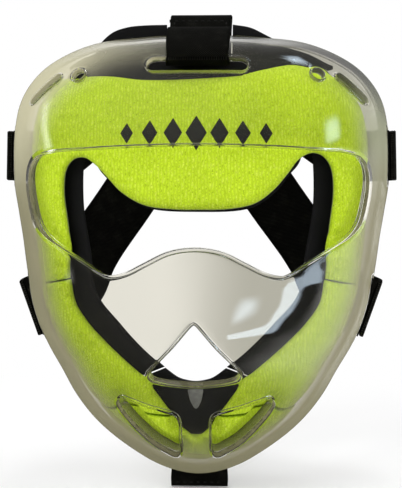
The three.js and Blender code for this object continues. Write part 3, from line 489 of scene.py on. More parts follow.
class Shader:
    """A node tree under construction, for a material or the world."""

    def __init__(self, owner: Material | bpy.types.World) -> None:
        """Empties the owner's node tree.

        Args:
            owner: The material or world.
        """
        owner.use_nodes = True
        self.owner = owner
        self.tree = owner.node_tree
        self.tree.nodes.clear()

    @classmethod
    def material(cls, name: str) -> "Shader":
        """A shader on a new material."""
        return cls(bpy.data.materials.new(name))

    def node(
        self,
        kind: str,
        settings: Mapping[str, object] | None = None,
        values: Mapping[str | int, object] | None = None,
        output: str | int = 0,
    ) -> Value | None:
        """Adds a node.

        Args:
            kind: The node's type.
            settings: Its properties.
            values: Values or links by a socket's name, identifier or number.
            output: The output that is wanted.

        Returns:
            That output, or None for a node without outputs.
        """
        made = self.tree.nodes.new(kind)
        for name, setting in (settings or {}).items():
            setattr(made, name, setting)
        for name, value in (values or {}).items():
            socket = self._socket(made.inputs, name)
            if isinstance(value, Value):
                self.tree.links.new(value.socket, socket)
            elif isinstance(value, tuple) and len(value) == 3 and socket.type == "RGBA":
                socket.default_value = (*value, 1)
            else:
                socket.default_value = value
        return Value(self, self._socket(made.outputs, output)) if made.outputs else None

    @staticmethod
    def _socket(sockets: bpy.types.NodeInputs, name: str | int) -> bpy.types.NodeSocket:
        """A socket by its number, identifier or name.

        Args:
            sockets: A node's inputs or outputs.
            name: The number, identifier or name.

        Returns:
            The socket.
        """
        if isinstance(name, int):
            return sockets[name]
        for socket in sockets:
            if socket.identifier == name or (socket.name == name and socket.enabled):
                return socket
        raise KeyError(name)

    def split(self, vector: Value) -> tuple[Value, Value, Value]:
        """The three parts of a vector."""
        parts = self.node("ShaderNodeSeparateXYZ", values={0: vector}).socket.node.outputs
        return Value(self, parts[0]), Value(self, parts[1]), Value(self, parts[2])

    def cloth(self) -> tuple[Value, Value, Value]:
        """Cloth coordinates in millimetres: the vector, across and along."""
        vector = self.node("ShaderNodeTexCoord", output="UV")
        return vector, *self.split(vector)[:2]

    def space(self) -> Value:
        """Places on the object, in metres."""
        return self.node("ShaderNodeTexCoord", output="Object")

    def noise(self, vector: Value, scale: float, detail: float = 2, roughness: float = 0.5) -> Value:
        """Soft noise from 0 to 1."""
        values = {"Vector": vector, "Scale": scale, "Detail": detail, "Roughness": roughness}
        return self.node("ShaderNodeTexNoise", values=values)

    def blend(self, share: Value | float, first: Value | Colour, second: Value | Colour) -> Value:
        """A mix of two colours."""
        values = {"Factor_Float": share, "A_Color": first, "B_Color": second}
        return self.node("ShaderNodeMix", {"data_type": "RGBA"}, values, "Result_Color")

    def mark(self, name: str) -> Value:
        """A named mark that the mesh carries."""
        return self.node("ShaderNodeAttribute", {"attribute_name": name}, output="Fac")

    def bump(self, height: Value, depth: float, strength: float = 1.0) -> Value:
        """A normal from a height, its depth in metres."""
        values = {"Strength": strength, "Distance": depth, "Height": height}
        return self.node("ShaderNodeBump", values=values)

    def surface(self, values: Mapping[str | int, object]) -> Value:
        """A Principled surface."""
        return self.node("ShaderNodeBsdfPrincipled", values=values)

    def opaque(
        self, colour: Value, rough: Value, normal: Value, gloss: float = 0.5, sheen: float = 0.0
    ) -> Material:
        """Finishes a material that no light passes.

        Args:
            colour: Base colour.
            rough: Roughness.
            normal: Normal.
            gloss: Strength of its mirror reflection.
            sheen: Weight of its sheen.

        Returns:
            The material.
        """
        values = {"Base Color": colour, "Roughness": rough, "Normal": normal}
        return self.done(self.surface(values | {"Specular IOR Level": gloss, "Sheen Weight": sheen}))

    def done(self, surface: Value) -> Material | bpy.types.World:
        """Links the surface to the output and gives back the owner.

        Args:
            surface: What the output shows.

        Returns:
            The material or world.
        """
        kind = "World" if isinstance(self.owner, bpy.types.World) else "Material"
        self.node(f"ShaderNodeOutput{kind}", values={"Surface": surface})
        return self.owner


# Finishes


@dataclass(frozen=True)
class ClearPlastic:
    """Polished clear polycarbonate, hazed by scuffs that show most where it is seen at a slant, with painted
    light and shade in the haze: pale on the upper left, grey on the upper right, dark on the lips and edges.
    """

    tint: Colour = (0.965, 0.955, 0.915)
    ior: float = 1.46
    polish: float = 0.012
    scuff: float = 0.16
    face_film: float = 0.009
    flank_film: float = 0.92
    lip_film: float = 0.62
    # film: the haze low down. pale: the upper haze painted as lit, on the left. grey: the same haze painted
    # as shaded, on the right. dark: painted shade lines along the rim and small edges, and on the lips over
    # their moulded haze.
    film: Colour = (0.265, 0.247, 0.155)
    pale: Colour = (0.50, 0.475, 0.32)
    grey: Colour = (0.37, 0.385, 0.265)
    dark: Colour = (0.10, 0.096, 0.055)

    def material(self) -> Material:
        """Makes the material.

        Returns:
            The material.
        """
        shader = Shader.material("clear_plastic")
        place = shader.space()
        waves = shader.noise(place, 14, 1)
        cloud = shader.noise(place, 38, 5, 0.62)
        drawn = {"Vector": place, "Rotation": (0.3, 0.5, 0.7), "Scale": (60.0, 900.0, 1400.0)}
        stretched = shader.node("ShaderNodeMapping", {"vector_type": "POINT"}, drawn)
        lines = shader.noise(stretched, 1, 2).rise(0.66, 0.74)
        worn = cloud.rise(0.5, 0.72)
        normal = shader.bump(waves + lines * worn * 0.03, 0.0008, 0.25)
        glass = shader.surface(
            {
                "Base Color": self.tint,
                "Roughness": self.polish + lines * worn * self.scuff,
                "IOR": self.ior,
                "Transmission Weight": 1.0,
                "Normal": normal,
            }
        )
        x, _, height = shader.split(place)
        low = height.rise(0.07, 0.015)
        slant = shader.node("ShaderNodeLayerWeight", values={"Blend": 0.5}, output="Facing")
        crown = (height + x * 0.2).rise(0.112, 0.072)
        edge = slant.rise(0.2, 0.5) * (1 - low) * crown + slant.rise(0.26, 0.6) * low
        # The lip marks and near edge-on silhouettes take the dark film: painted shade lines, over the lips'
        # moulded haze.
        lip = shader.mark("lip").most(slant.rise(0.88, 0.98))
        edge = edge * (1 - shader.mark("bare")) * (0.8 + cloud * 0.35)
        share = (self.face_film * (0.5 + worn) + edge * self.flank_film).most(lip * self.lip_film)
        # Painted light and shade on the upper haze: pale on the left, grey on the right.
        upper = shader.blend(x.rise(-0.03, 0.09), self.pale, self.grey)
        colour = shader.blend(lip, shader.blend(low, upper, self.film), self.dark)
        film = shader.surface({"Base Color": colour, "Roughness": 1.0, "Specular IOR Level": 0.0})
        hazed = shader.node("ShaderNodeMixShader", values={0: share, 1: glass, 2: film})
        through = shader.node("ShaderNodeBsdfTransparent", values={"Color": (0.98, 0.98, 0.97)})
        shadow = shader.node("ShaderNodeLightPath", output="Is Shadow Ray")
        return shader.done(shader.node("ShaderNodeMixShader", values={0: shadow, 1: hazed, 2: through}))


@dataclass(frozen=True)
class SpacerMesh:
    """Knitted spacer mesh over foam: wandering upright wales with small gaps, a little pilled; shade between
    the wales and in the gaps is painted dark, and highlights along the wales are painted pale.
    """

    name: str = "spacer_mesh"
    colour: Colour = (0.56, 0.76, 0.024)
    # Painted shade between the wales and along dark streaks.
    shade: Colour = (0.27, 0.40, 0.01)
    # Painted shade in the knit's small gaps.
    gap_shade: Colour = (0.17, 0.25, 0.008)
    # Painted highlight along the wales.
    pale: Colour = (0.72, 0.85, 0.11)
    pitch: float = 1.75
    row: float = 1.9
    streak_share: float = 0.34
    pilled: Colour = (0.16, 0.21, 0.03)
    ink: tuple[Colour, Colour] = ((0.006, 0.006, 0.006), (0.017, 0.017, 0.016))
    printed: bool = False

    def material(self) -> Material:
        """Makes the material.

        Returns:
            The material.
        """
        shader = Shader.material(self.name)
        vector, across, along = shader.cloth()
        sway = shader.noise(vector, 0.07, 3)
        jitter = shader.noise(vector, 0.42, 2)
        column = across / self.pitch + sway * 2.2 + jitter * 0.9
        stagger = (column.floor() % 2) * 0.5
        x = column.fract() - 0.5
        y = (along / self.row + stagger + jitter * 1.7).fract() - 0.5
        hole = (x * x * 14.0 + y * y * 4.5).rise(0.75, 0.1)
        rib = (column * TURN).cosine() * -0.5 + 0.5
        fibre = shader.noise(vector, 2.2, 3, 0.65)
        grain = shader.noise(vector, 0.9, 3, 0.6)
        drawn = {0: vector, 1: (1.0, self.streak_share, 1.0)}
        upright = shader.node("ShaderNodeVectorMath", {"operation": "MULTIPLY"}, drawn)
        streak = shader.noise(upright, 0.85, 3, 0.6)
        broad = shader.noise(vector, 0.045, 3)
        lit = shader.blend(broad.rise(0.3, 0.75), self.colour, tuple(c * 0.88 for c in self.colour))
        # Painted highlight: paler streaks along the wales.
        knit = shader.blend(streak.rise(0.5, 0.66) * 0.6, lit, self.pale)
        # Painted shade between the wales and along dark streaks.
        knit = shader.blend(((1 - rib) * 0.5).most(streak.rise(0.47, 0.35) * 0.6), knit, self.shade)
        # Painted shade in the knit's small gaps.
        knit = shader.blend(hole * grain.rise(0.42, 0.62) * 0.55, knit, self.gap_shade)
        pill = shader.noise(vector, 0.55, 5, 0.75)
        knit = shader.blend(pill.rise(0.66, 0.74) * 0.5, knit, self.pilled)
        height = rib * 0.5 - hole * 0.7 + fibre * 0.3 + grain * 0.5 + pill * 0.4
        rough = 0.85 + fibre * 0.12
        if self.printed:
            mark = BrowPrint().mask(across, along)
            knit = shader.blend(mark, knit, shader.blend(fibre, *self.ink))
            height = height * (1 - mark * 0.8) + mark * 0.5
            rough = rough * (1 - mark) + mark * 0.5
        return shader.opaque(knit, rough, shader.bump(height, 0.0006, 0.8), gloss=0.15, sheen=0.02)


@dataclass(frozen=True)
class BrowPrint:
    """A plain print on the brow: one row of black diamonds that get smaller outwards."""

    pitch: float = 12.2
    count: float = 3.5
    half_width: float = 5.6
    half_height: float = 9.0
    taper: float = 0.13
    middle: float = 60.5

    def mask(self, across: Value, along: Value) -> Value:
        """Where the ink lies.

        Args:
            across: Cloth coordinate across the brow.
            along: Cloth coordinate up the brow.

        Returns:
            1 on the diamonds and 0 elsewhere.
        """
        place = across / self.pitch + 0.5
        number = abs(place.floor())
        size = 1 - number * self.taper
        off = abs(place.fract() - 0.5) * (self.pitch / self.half_width)
        up = abs(along - self.middle) / self.half_height
        return (off + up - size).rise(0.02, -0.02) * number.rise(self.count + 0.1, self.count - 0.1)


@dataclass(frozen=True)
class BrushedLining:
    """Black brushed lining on thin foam."""

    colour: Colour = (0.0035, 0.0035, 0.0037)
    nap: Colour = (0.0135, 0.0135, 0.0138)

    def material(self) -> Material:
        """Makes the material.

        Returns:
            The material.
        """
        shader = Shader.material("brushed_lining")
        place = shader.space()
        fine = shader.noise(place, 2600, 2, 0.65)
        broad = shader.noise(place, 55, 3)
        colour = shader.blend(fine * 0.4 + broad * 0.6, self.colour, self.nap)
        normal = shader.bump(fine * 0.5 + broad, 0.0004, 0.35)
        return shader.opaque(colour, 0.85 + fine * 0.1, normal, gloss=0.03)


@dataclass(frozen=True)
class ElasticWebbing:
    """Black woven elastic: a fine twill between plain selvedges, its raised twill painted lighter as a
    highlight, more where worn.
    """

    colour: Colour = (0.0008, 0.0008, 0.0006)
    # Lighter colour of the raised twill: a painted highlight, partly wear.
    raised: Colour = (0.042, 0.042, 0.033)
    rib: float = 1.25
    selvedge: float = 15.2

    def material(self) -> Material:
        """Makes the material.

        Returns:
            The material.
        """
        shader = Shader.material("elastic_webbing")
        vector, across, along = shader.cloth()
        row = along / (self.rib * 0.8)
        twill = ((across / self.rib + row) * TURN).cosine() * 0.5 + 0.5
        weft = (row * (2 * TURN)).cosine() * 0.5 + 0.5
        edge = abs(across).rise(self.selvedge, self.selvedge + 0.6)
        fibre = shader.noise(vector, 2.2, 3, 0.65)
        height = (twill * 0.6 + weft * 0.4).rise(0.55, 0.95) * (1 - edge * 0.6) + fibre * 0.1
        worn = shader.noise(vector, 0.12, 4, 0.6).rise(0.45, 0.8)
        # Painted highlight on the raised twill, stronger where it is worn.
        colour = shader.blend(height * (0.35 + worn * 0.65), self.colour, self.raised)
        return shader.opaque(colour, 0.62 + fibre * 0.25, shader.bump(height, 0.0005, 0.8), gloss=0.03)


@dataclass(frozen=True)
class HookTape:
    """Black hook tape: rows of small stiff hooks."""

    colour: Colour = (0.008, 0.008, 0.008)
    tips: Colour = (0.05, 0.05, 0.05)
    pitch: float = 700.0

    def material(self) -> Material:
        """Makes the material.

        Returns:
            The material.
        """
        shader = Shader.material("hook_tape")
        place = shader.space()
        settings = {"feature": "F1", "voronoi_dimensions": "3D"}
        values = {"Vector": place, "Scale": self.pitch, "Randomness": 0.25}
        hooks = shader.node("ShaderNodeTexVoronoi", settings, values).rise(0.45, 0.15)
        colour = shader.blend(hooks, self.colour, self.tips)
        return shader.opaque(colour, 0.55 + hooks * 0.2, shader.bump(hooks, 0.0006, 0.9))


@dataclass(frozen=True)
class GreyVinyl:
    """Smooth grey vinyl of the chin patch."""

    colour: Colour = (0.13, 0.132, 0.13)
    worn: Colour = (0.22, 0.222, 0.215)

    def material(self) -> Material:
        """Makes the material.

        Returns:
            The material.
        """
        shader = Shader.material("grey_vinyl")
        grain = shader.noise(shader.space(), 420, 4, 0.6)
        colour = shader.blend(grain.rise(0.35, 0.75), self.colour, self.worn)
        return shader.opaque(colour, 0.38 + grain * 0.25, shader.bump(grain, 0.0003, 0.4))


@dataclass(frozen=True)
class Thread:
    """Twisted sewing thread or narrow edging in one colour family."""

    name: str
    colour: Colour
    twist: float = 3200.0

    def material(self) -> Material:
        """Makes the material.

        Returns:
            The material.
        """
        shader = Shader.material(self.name)
        strand = shader.noise(shader.space(), self.twist, 2)
        colour = shader.blend(strand.rise(0.3, 0.7), tuple(c * 0.55 for c in self.colour), self.colour)
        return shader.opaque(colour, 0.6 + strand * 0.3, shader.bump(strand, 0.0002, 0.6), gloss=0.15)


@dataclass
class Finishes:
    """All finishes of the mask, made once."""

    clear: Material = field(default_factory=ClearPlastic().material)
    mesh: Material = field(default_factory=SpacerMesh().material)
    printed: Material = field(default_factory=SpacerMesh("printed_spacer_mesh", printed=True).material)
    lining: Material = field(default_factory=BrushedLining().material)
    webbing: Material = field(default_factory=ElasticWebbing().material)
    hook: Material = field(default_factory=HookTape().material)
    vinyl: Material = field(default_factory=GreyVinyl().material)
    black_thread: Material = field(default_factory=Thread("black_thread", (0.014, 0.014, 0.012)).material)
    edging: Material = field(default_factory=Thread("grey_green_edging", (0.24, 0.29, 0.11)).material)


# The shell's surface


@dataclass
class ShellForm:
    """Outer surface of the shell, with its front view and its unrolled sheet."""

    half_width: float = 104.5
    crown_height: float = 113.0
    chin_drop: float = 124.0
    wall: float = 3.0
    side_depth: float = 80.0
    crown_depth: float = 42.0
    chin_depth: float = 50.0
    face_bow: float = 13.0
    nose_rise: float = 15.0
    nose_spread: float = 24.0
    nose_length: float = 26.0
    nose_drop: float = 42.0
    squareness: float = 2.5
    slope_step: float = 0.2
    rim_shares: tuple[Share, ...] = (
        (0, 1), (0.30, 0.993), (0.55, 0.969), (0.715, 0.915), (0.83, 0.85), (0.915, 0.765),
        (0.962, 0.68), (0.988, 0.57), (1, 0.42), (0.997, 0.29), (0.975, 0.157), (0.95, 0.02),
        (0.924, -0.124), (0.904, -0.23), (0.86, -0.337), (0.795, -0.444), (0.718, -0.546), (0.643, -0.65),
        (0.545, -0.751), (0.408, -0.851), (0.321, -0.902), (0.218, -0.953), (0.11, -0.987), (0, -1),
    )
    profile_shares: tuple[Share, ...] = (
        (-1.06, 0), (-0.89, -0.62), (-0.73, -1), (-0.48, -1), (-0.16, -0.38), (0.18, 0), (0.53, 0.08),
        (0.88, 0.46), (1.15, 0.77),
    )
    rim_table: Points = field(init=False)
    turns: Points = field(init=False)
    spreads: Points = field(init=False)

    def __post_init__(self) -> None:
        """Works out the rim's table and the length of the section from the middle to the rim."""
        rim = self.place(self.rim_shares)[::-1]
        half = np.stack([np.arctan2(rim[:, 1], rim[:, 0]), np.hypot(rim[:, 0], rim[:, 1])], -1)
        low = np.stack([-math.pi - half[1:3, 0], half[1:3, 1]], -1)[::-1]
        high = np.stack([math.pi - half[-3:-1, 0], half[-3:-1, 1]], -1)[::-1]
        self.rim_table = np.concatenate([low, half, high])
        self.turns = np.linspace(0, math.pi / 2, 4000)
        share, back = self.section(self.turns)
        depth = (self.side_depth + self.crown_depth) / 2 / self.half_width
        steps = np.hypot(np.diff(share), np.diff(back) * depth)
        self.spreads = np.concatenate([[0.0], np.cumsum(steps)])

    def place(self, shares: Sequence[Share]) -> Points:
        """Places in the front view from shares of the half width and of the crown height or chin drop.

        Args:
            shares: Shares across and up.

        Returns:
            The places.
        """
        shares = np.asarray(shares, float)
        height = np.where(shares[..., 1] > 0, self.crown_height, self.chin_drop)
        return np.stack([shares[..., 0] * self.half_width, shares[..., 1] * height], -1)

    def section(self, turn: Points) -> tuple[Points, Points]:
        """Shares of the radius and of the depth at a turn from the middle to the rim."""
        power = 2 / self.squareness
        return np.sin(turn) ** power, 1 - np.maximum(np.cos(turn), 0) ** power

    def rim_radius(self, angle: Points) -> Points:
        """Distance from the middle to the rim in the front view."""
        folded = np.arctan2(np.sin(angle), np.abs(np.cos(angle)))
        return smooth_table(self.rim_table, folded)

    def flank_depth(self, angle: Points) -> Points:
        """How far back the flank reaches behind the face.

        Args:
            angle: Angles round the middle of the front view.

        Returns:
            Depths from the face to the rim.
        """
        rise = np.sin(angle) ** 2
        end = np.where(np.sin(angle) > 0, self.crown_depth, self.chin_depth)
        share = 0.6 * rise * rise + 0.4 * rise
        return self.side_depth * (1 - share) + end * share

    def face_base(self, x: Points, z: Points) -> Points:
        """Depth of the face before it turns into the flanks.

        Args:
            x: Places across the front view.
            z: Places up the front view.

        Returns:
            The depths.
        """
        height = z / np.where(z > 0, self.crown_height, self.chin_drop)
        profile = smooth_table(self.profile_shares, height) * self.face_bow
        across, down = x / self.nose_spread, (z + self.nose_drop) / self.nose_length
        return profile - self.nose_rise * np.exp(-(across**2 + down**2) / 2)

    def surface_depth(self, x: Points, z: Points) -> Points:
        """Depth of the outer surface at a place of the front view.

        Args:
            x: Places across the front view.
            z: Places up the front view.

        Returns:
            The depths.
        """
        x, z = np.asarray(x, float), np.asarray(z, float)
        angle = np.arctan2(z, x)
        share = np.minimum(np.hypot(x, z) / self.rim_radius(angle), 1 - TINY)
        turn = 1 - (1 - share**self.squareness) ** (1 / self.squareness)
        return self.face_base(x, z) + self.flank_depth(angle) * turn

    def wall_point(self, x: Points, z: Points, height: Points | float) -> Points:
        """Points over the outer surface, or inside it for heights below zero, by their front view.

        Args:
            x: Places across the front view.
            z: Places up the front view.
            height: Height over the outer surface.

        Returns:
            The points in space.
        """
        step = self.slope_step / 2
        slope_x = (self.surface_depth(x + step, z) - self.surface_depth(x - step, z)) / (2 * step)
        slope_z = (self.surface_depth(x, z + step) - self.surface_depth(x, z - step)) / (2 * step)
        normal = unit(np.stack([slope_x, -np.ones_like(slope_x), slope_z], -1))
        base = np.stack([x, self.surface_depth(x, z), z], -1)
        return base + normal * np.asarray(height, float)[..., None]

    def rim_front(self, angle: float) -> Share:
        """Place of the rim in the front view."""
        reach = float(self.rim_radius(np.array([angle]))[0])
        return reach * math.cos(angle), reach * math.sin(angle)

    def rim_point(self, angle: float) -> Points:
        """A point of the rim."""
        return self.outer(self.rim_sheet(np.array([angle])))[0]

    def rim_sheet(self, angles: Points, inset: float = 0.0) -> Points:
        """Places of the rim on the unrolled sheet, or inside it by an inset."""
        reach = self.spreads[-1] * self.rim_radius(angles) - inset
        return np.stack([reach * np.cos(angles), reach * np.sin(angles)], -1)

    def sheet_from_front(self, front: Points) -> Points:
        """Places on the unrolled sheet for places of the front view.

        Args:
            front: Places of the front view.

        Returns:
            The places on the sheet.
        """
        x, z = front[..., 0], front[..., 1]
        angle = np.arctan2(z, x)
        radius = self.rim_radius(angle)
        share = np.minimum(np.hypot(x, z) / radius, 1)
        turn = np.arcsin(share ** (self.squareness / 2))
        spread = np.interp(turn, self.turns, self.spreads) * radius
        return np.stack([spread * np.cos(angle), spread * np.sin(angle)], -1)

    def sheet_from_space(self, points: Points) -> Points:
        """Places on the unrolled sheet nearest to points close to the surface.

        Args:
            points: Points in space.

        Returns:
            The places on the sheet.
        """
        angle = np.arctan2(points[:, 2], points[:, 0])[:, None]
        radius = self.rim_radius(angle)
        reach = np.linspace(0.2, self.spreads[-1], 1600)[None, :] * radius
        sheet = np.stack([reach * np.cos(angle), reach * np.sin(angle)], -1)
        gaps = np.linalg.norm(self.outer(sheet) - points[:, None, :], axis=-1)
        return sheet[np.arange(len(points)), np.argmin(gaps, axis=1)]

    def outer(self, sheet: Points) -> Points:
        """Points of the outer surface for places on the unrolled sheet.

        Args:
            sheet: Places on the unrolled sheet.

        Returns:
            The points in space.
        """
        u, v = sheet[..., 0], sheet[..., 1]
        angle = np.arctan2(v, u)
        radius = self.rim_radius(angle)
        spread = np.hypot(u, v) / radius
        share, back = self.section(np.interp(spread, self.spreads, self.turns))
        x, z = share * radius * np.cos(angle), share * radius * np.sin(angle)
        beyond = np.maximum(spread - self.spreads[-1], 0) * radius
        return np.stack([x, self.face_base(x, z) + self.flank_depth(angle) * back + beyond, z], -1)

    def laid(self, sheet: Points, height: Points | float) -> Points:
        """Points at a height over the outer surface for places on the unrolled sheet.

        Args:
            sheet: Places on the unrolled sheet.
            height: Height over the outer surface.

        Returns:
            The points in space.
        """
        step = np.array([self.slope_step, 0.0])
        along_u = self.outer(sheet + step) - self.outer(sheet - step)
        along_v = self.outer(sheet + step[::-1]) - self.outer(sheet - step[::-1])
        normal = unit(np.cross(along_u, along_v))
        return self.outer(sheet) + normal * np.asarray(height, float)[..., None]


class Opening(Enum):
    """Kinds of opening, each with its own moulded edge."""

    EYE = "eye"
    NOSE = "nose"
    MOUTH = "mouth"
    CROWN_SLOT = "crown_slot"
    STRAP_SLOT = "strap_slot"
    VENT = "vent"
    SPARE = "spare"


@dataclass(frozen=True)
class MouldedEdge:
    """Section of the lip round an opening: how deep and how thick it is, and how it fades on upper edges."""

    lip: float
    flange: float = 1.8
    bead: float = 0.0
    spread: float = 1.4
    upper: float = 1.0
    clear: float = 0.2

    def profile(self, wall: float) -> list[Share]:
        """The section's points, from the outer wall round the lip to the inner wall.

        Args:
            wall: Thickness of the wall.

        Returns:
            Distance from the opening's edge and height over the outer surface, for each point.
        """
        deep, flange, bead = self.lip, self.flange, self.bead
        reach = flange + self.spread
        edge = [
            (reach, 0), (reach - 0.3 * self.spread, bead * 0.2), (flange + 0.35 * self.spread, bead * 0.8),
            (flange * 0.5, bead), (0.45, bead * 0.9 - 0.06), (0.2, bead * 0.6 - 0.24), (0.04, -0.6), (0, -1),
            (0, 0.6 - deep), (0.08, 0.28 - deep), (0.3, 0.06 - deep), (0.5, -deep), (flange - 0.5, -deep),
            (flange - 0.3, 0.07 - deep), (flange - 0.05, 0.3 - deep), (flange, 0.6 - deep),
        ]
        if deep > wall + 1.2:
            edge += [(flange, -wall - 0.7), (flange + 0.1, -wall - 0.3)]
        return edge + [(flange + 0.3 * self.spread, -wall - 0.04), (reach, -wall)]

    def heights(self, height: float, low: Points, wall: float) -> Points:
        """Heights of a profile point round the opening, with the lip shallower on the upper edges.

        Args:
            height: The point's height over the outer surface.
            low: How much each place round the opening is a lower edge, from 0 to 1.
            wall: Thickness of the wall.

        Returns:
            The height at each place.
        """
        base = -wall - self.clear
        if height >= base:
            return np.full(len(low), height)
        return base + (height - base) * (self.upper + (1 - self.upper) * low)


@dataclass
class Shell:
    """The clear shell, cut from its unrolled sheet and laid over the form."""

    form: ShellForm
    spacing: float = 2.3
    edge_spacing: float = 1.25
    rim_steps: int = 420
    crown_slot: tuple[float, float] = (53.6, 8.6)
    vent: float = 6.6
    spare: tuple[float, float] = (22.0, 3.8)
    vent_place: Share = (0.604, 0.804)
    spare_place: Share = (0.783, 0.744)
    spare_lean: float = -34.0
    # These lips take the dark lip film on their lower inner walls: their moulded haze, with painted shade.
    hazed_and_shaded_lips: tuple[Opening, ...] = (Opening.NOSE, Opening.MOUTH)
    # Share of the dark lip film on the edges of vents, spare holes and the crown slot: painted shade lines.
    small_shade_line: float = 0.9
    # How far from an edge the painted shade lines reach.
    shade_line_reach: float = 0.45
    weld: float = 0.0005
    eye_shares: tuple[Share, ...] = (
        (0, 0.471), (0.385, 0.462), (0.545, 0.453), (0.675, 0.445), (0.755, 0.437), (0.812, 0.42),
        (0.846, 0.383), (0.862, 0.318), (0.849, 0.195), (0.819, 0.103), (0.77, 0.051), (0.684, 0.002),
        (0.565, -0.052),
        (0.493, -0.087), (0.433, -0.106), (0.352, -0.093), (0.255, -0.052), (0.133, -0.003), (0, 0.015),
    )
    nose_shares: tuple[Share, ...] = (
        (0, -0.287), (0.017, -0.298), (0.115, -0.394), (0.213, -0.489), (0.228, -0.511), (0.216, -0.529),
        (0.177, -0.539), (0.077, -0.549), (0, -0.552),
    )
    mouth_shares: tuple[Share, ...] = (
        (0.083, -0.782), (0.084, -0.711), (0.098, -0.685), (0.153, -0.669), (0.239, -0.651), (0.325, -0.628),
        (0.376, -0.62), (0.389, -0.639), (0.371, -0.674), (0.326, -0.724), (0.274, -0.774), (0.215, -0.822),
        (0.153, -0.857), (0.105, -0.878), (0.085, -0.865),
    )
    rim_profile: tuple[Share, ...] = (
        (3.4, 0), (2.7, 0.01), (2.2, 0.04), (1.7, 0.06), (1.0, 0.05), (0.5, -0.03), (0.15, -0.3), (0, -0.8),
        (0, -2.2), (0.15, -2.7), (0.6, -3), (1.6, -3), (3.4, -3),
    )

    def edges(self) -> dict[Opening, MouldedEdge]:
        """The moulded edge of each kind of opening.

        Returns:
            The edges by kind.
        """
        wall = self.form.wall
        return {
            Opening.EYE: MouldedEdge(4.8, 1.5, upper=0.5),
            Opening.NOSE: MouldedEdge(6.5, 1.3, spread=0.9, upper=0.3),
            Opening.MOUTH: MouldedEdge(8.0, 1.1, spread=0.7, upper=0.06),
            Opening.CROWN_SLOT: MouldedEdge(wall + 0.6, 1.0, 0.3, 0.8),
            Opening.STRAP_SLOT: MouldedEdge(wall + 0.4, 1.0, 0.15, 0.8),
            Opening.VENT: MouldedEdge(wall + 0.5, 1.0, 0.4, 0.8),
            Opening.SPARE: MouldedEdge(wall + 0.5, 1.0, 0.35, 0.8),
        }

    def openings(self, seats: Sequence["StrapSeat"]) -> list[tuple[Opening, Points]]:
        """Outlines of all openings on the unrolled sheet.

        Args:
            seats: Where the straps pass through the shell.

        Returns:
            Each opening's kind and outline.
        """
        large = self._large()
        made = [(kind, self._moulded(shares)) for kind, shares in large[:2]]
        for sign, (kind, shares) in zip((1, -1), large[2:]):
            made.append((kind, self._moulded(shares)))
            made.append((Opening.VENT, self._cut(self.vent_place, sign, 0, (self.vent, self.vent))))
            made.append((Opening.SPARE, self._cut(self.spare_place, sign, self.spare_lean, self.spare)))
        for seat in seats:
            kind = Opening.CROWN_SLOT if seat.crown else Opening.STRAP_SLOT
            outline = rounded_outline(seat.slot_length, seat.slot_width, seat.slot_corner)
            made.append((kind, self._slot(seat.slot_place, seat.lengthwise, seat.crosswise, outline)))
        return made

    def _large(self) -> list[tuple[Opening, list[Share]]]:
        """Outlines of the large openings as shares of the front view: eye, nose and both sides of the mouth.

        Returns:
            Each opening's kind and outline.
        """
        whole = ((Opening.EYE, self.eye_shares), (Opening.NOSE, self.nose_shares))
        made = [(kind, [*half, *[(-x, y) for x, y in half[-2:0:-1]]]) for kind, half in whole]
        return made + [(Opening.MOUTH, [(sign * x, y) for x, y in self.mouth_shares]) for sign in (1, -1)]

    def _moulded(self, shares: Sequence[Share]) -> Points:
        """An opening's outline on the sheet from shares of the front view."""
        front = curve_points(self.form.place(shares), 12, closed=True)
        return self._even(self.form.sheet_from_front(front))

    def _cut(self, share: Share, sign: int, lean: float, size: tuple[float, float]) -> Points:
        """A small round-ended hole's outline at a place of the front view.

        Args:
            share: Its place as shares of the front view.
            sign: 1 on the right and -1 on the left.
            lean: Turn of its length in degrees.
            size: Its length and width.

        Returns:
            The outline on the sheet.
        """
        x, z = self.form.place([share])[0]
        x *= sign
        centre = self.form.wall_point(np.array([x]), np.array([z]), 0.0)[0]
        normal = self.form.wall_point(np.array([x]), np.array([z]), 1.0)[0] - centre
        turn = math.radians(lean)
        lengthwise = np.array([sign * math.cos(turn), 0, math.sin(turn)])
        lengthwise = unit(lengthwise - normal * lengthwise.dot(normal))
        outline = rounded_outline(*size, min(size) / 2 - 0.01)
        return self._slot(centre, lengthwise, np.cross(normal, lengthwise), outline)

    def _slot(self, centre: Points, lengthwise: Points, crosswise: Points, outline: Points) -> Points:
        """A flat outline laid on the surface and read on the sheet."""
        points = centre + outline[:, :1] * lengthwise + outline[:, 1:] * crosswise
        return self._even(self.form.sheet_from_space(points))

    def _even(self, outline: Points) -> Points:
        """An outline with even steps."""
        total = lengths_along(np.concatenate([outline, outline[:1]]))[-1]
        return spaced(outline, max(int(total / self.edge_spacing), 20), closed=True)

    def build(self, finish: Material, seats: Sequence["StrapSeat"]) -> None:
        """Makes the shell.

        Args:
            finish: Its material.
            seats: Where the straps pass through it.
        """
        bm = bmesh.new()
        edges = self.edges()
        wall = self.form.wall
        openings = self.openings(seats)
        rim_angles = np.linspace(0, TURN, self.rim_steps, endpoint=False)
        rim = self.form.rim_sheet(rim_angles, self.rim_profile[0][0])
        collars = [offset_outline(o, edges[kind].profile(wall)[0][0]) for kind, o in openings]
        bare = bm.verts.layers.float.new("bare")
        # Lip mark: share of the dark lip film, painted shade along the rim, the lips and the small edges.
        lip_haze_and_shade_marks = bm.verts.layers.float.new("lip")
        loops = self._field(bm, rim, collars)
        back = self._inner_wall(bm, loops)
        loop = loops[0]
        for distance, height in self.rim_profile[1:]:
            loop = extend_loop(bm, loop, self._raised(self.form.rim_sheet(rim_angles, distance), height))
            for vert in loop:
